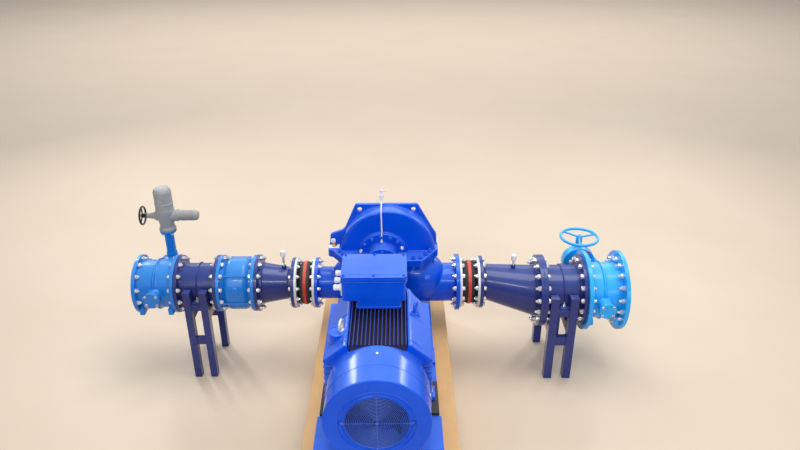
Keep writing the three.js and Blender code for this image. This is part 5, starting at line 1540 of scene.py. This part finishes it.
# Flange bolts: height, count and size, then each seat's x, facing, circle and the stud past its nut
flangeBolts = {
    "suction": [
        (nozzleZ, 12, "M24", [(712, "-x", 235, 10), (774, "+x", 226, 2), (926, "-x", 226, 10),
                              (982.3, "+x", 228, 2)]),
        (suctionZ, 16, "M27", [(1528.7, "-x", 310, 22), (1601, "+x", 310, 3), (1948.7, "-x", 310, 3),
                               (2025, "+x", 312, 18), (2335, "-x", 320, 24)])],
    "discharge": [
        (nozzleZ, 12, "M20", [(-638, "+x", 222, 10), (-694, "-x", 222, 2), (-846, "+x", 222, 10),
                              (-902.3, "-x", 222, 2)]),
        (nozzleZ, 12, "M24", [(-1222.7, "+x", 255, 10), (-1287, "-x", 255, 3), (-1587.7, "+x", 255, 3),
                              (-1652, "-x", 255, 10), (-1997.7, "+x", 257, 10), (-2064, "-x", 257, 4),
                              (-2396, "+x", 257, 14)])],
}
for side, groupsOfSeats in flangeBolts.items():
    joinInto(side + "_flange_bolts", [
        ringOfNuts((x, 0, z), facing, count, circle, size, stud)
        for z, count, size, seats in groupsOfSeats for x, facing, circle, stud in seats])
# Stud ends, flush with the trains' open faces: face, side, height, count, circle and radius
studRings = [(2375, 1, suctionZ, 16, 320, 13.5), (-2430, -1, nozzleZ, 12, 257, 12)]
studEnds = []
for face, out, z, count, circle, radius in studRings:
    profile = [(face - out * 2, 0), (face - out * 2, radius), (face + out * 1, radius, 0.5),
               (face + out * 2, radius - 2), (face + out * 2, 0)]
    studEnds += [turned("x", (0, circle * math.cos(a), z + circle * math.sin(a)), profile, 18, 1)
                 for a in (math.pi * (2 * k + 1) / count for k in range(count))]
addPiece("flange_stud_ends", studEnds, "zincBolts")
print("bolts done")

# Names any CAD node that no piece has replaced
for name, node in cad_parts.items():
    if not node.hide_render:
        print("CAD node shown:", name)


# Floor and light
def makeStage():
    mesh = bpy.data.meshes.new("floor")
    mesh.from_pydata([(-40, -20, -0.001), (40, -20, -0.001), (40, 60, -0.001), (-40, 60, -0.001)], [],
                     [(0, 1, 2, 3)])
    mesh.materials.append(makeFloorMaterial())
    newObject("floor", mesh)
    world = bpy.data.worlds.new("softWorld")
    world.use_nodes = True
    sky = world.node_tree.nodes["Background"]
    sky.inputs["Color"].default_value = rgba(0.84, 0.9, 1.0)
    sky.inputs["Strength"].default_value = 0.48
    scene.world = world


# Soft lights: name, place, aim, width, depth, watts, colour
lights = [
    ("overhead", (1.4, 0.6, 9.5), (0.2, -0.7, 0.8), 8.0, 4.5, 565, (1.0, 0.98, 0.95)),
    ("frontLeft", (-3.0, -8.0, 4.6), (0.0, -1.2, 1.0), 3.0, 3.0, 60, (1.0, 0.98, 0.95)),
    ("frontStrip", (-0.5, -7.2, 6.6), (0.5, -0.3, 0.9), 6.0, 0.28, 250, (1.0, 0.99, 0.97)),
    ("frontRight", (5.5, -6.5, 3.2), (0.4, -0.5, 0.9), 2.4, 2.4, 75, (0.96, 0.98, 1.0)),
    ("farFloor", (0.0, 16.0, 8.0), (0.0, 15.5, 0.0), 26.0, 12.0, 1500, (1.0, 0.98, 0.95)),
    ("windowLeft", (-5.4, 5.6, 5.0), (0.0, -2.2, 1.6), 0.7, 3.0, 150, (1.0, 1.0, 1.0)),
    ("windowRight", (5.4, 5.6, 4.6), (0.0, -2.2, 1.6), 0.6, 2.6, 90, (1.0, 1.0, 1.0)),
]


def makeLights():
    for name, place, aim, width, depth, watts, colour in lights:
        data = bpy.data.lights.new(name, "AREA")
        data.shape = "RECTANGLE"
        data.size, data.size_y = width, depth
        data.energy = watts
        data.color = colour
        lamp = newObject(name, data)
        lamp.location = place
        lamp.rotation_euler = (Vector(aim) - Vector(place)).to_track_quat("-Z", "Y").to_euler()


makeStage()
makeLights()
print("stage and lights done")
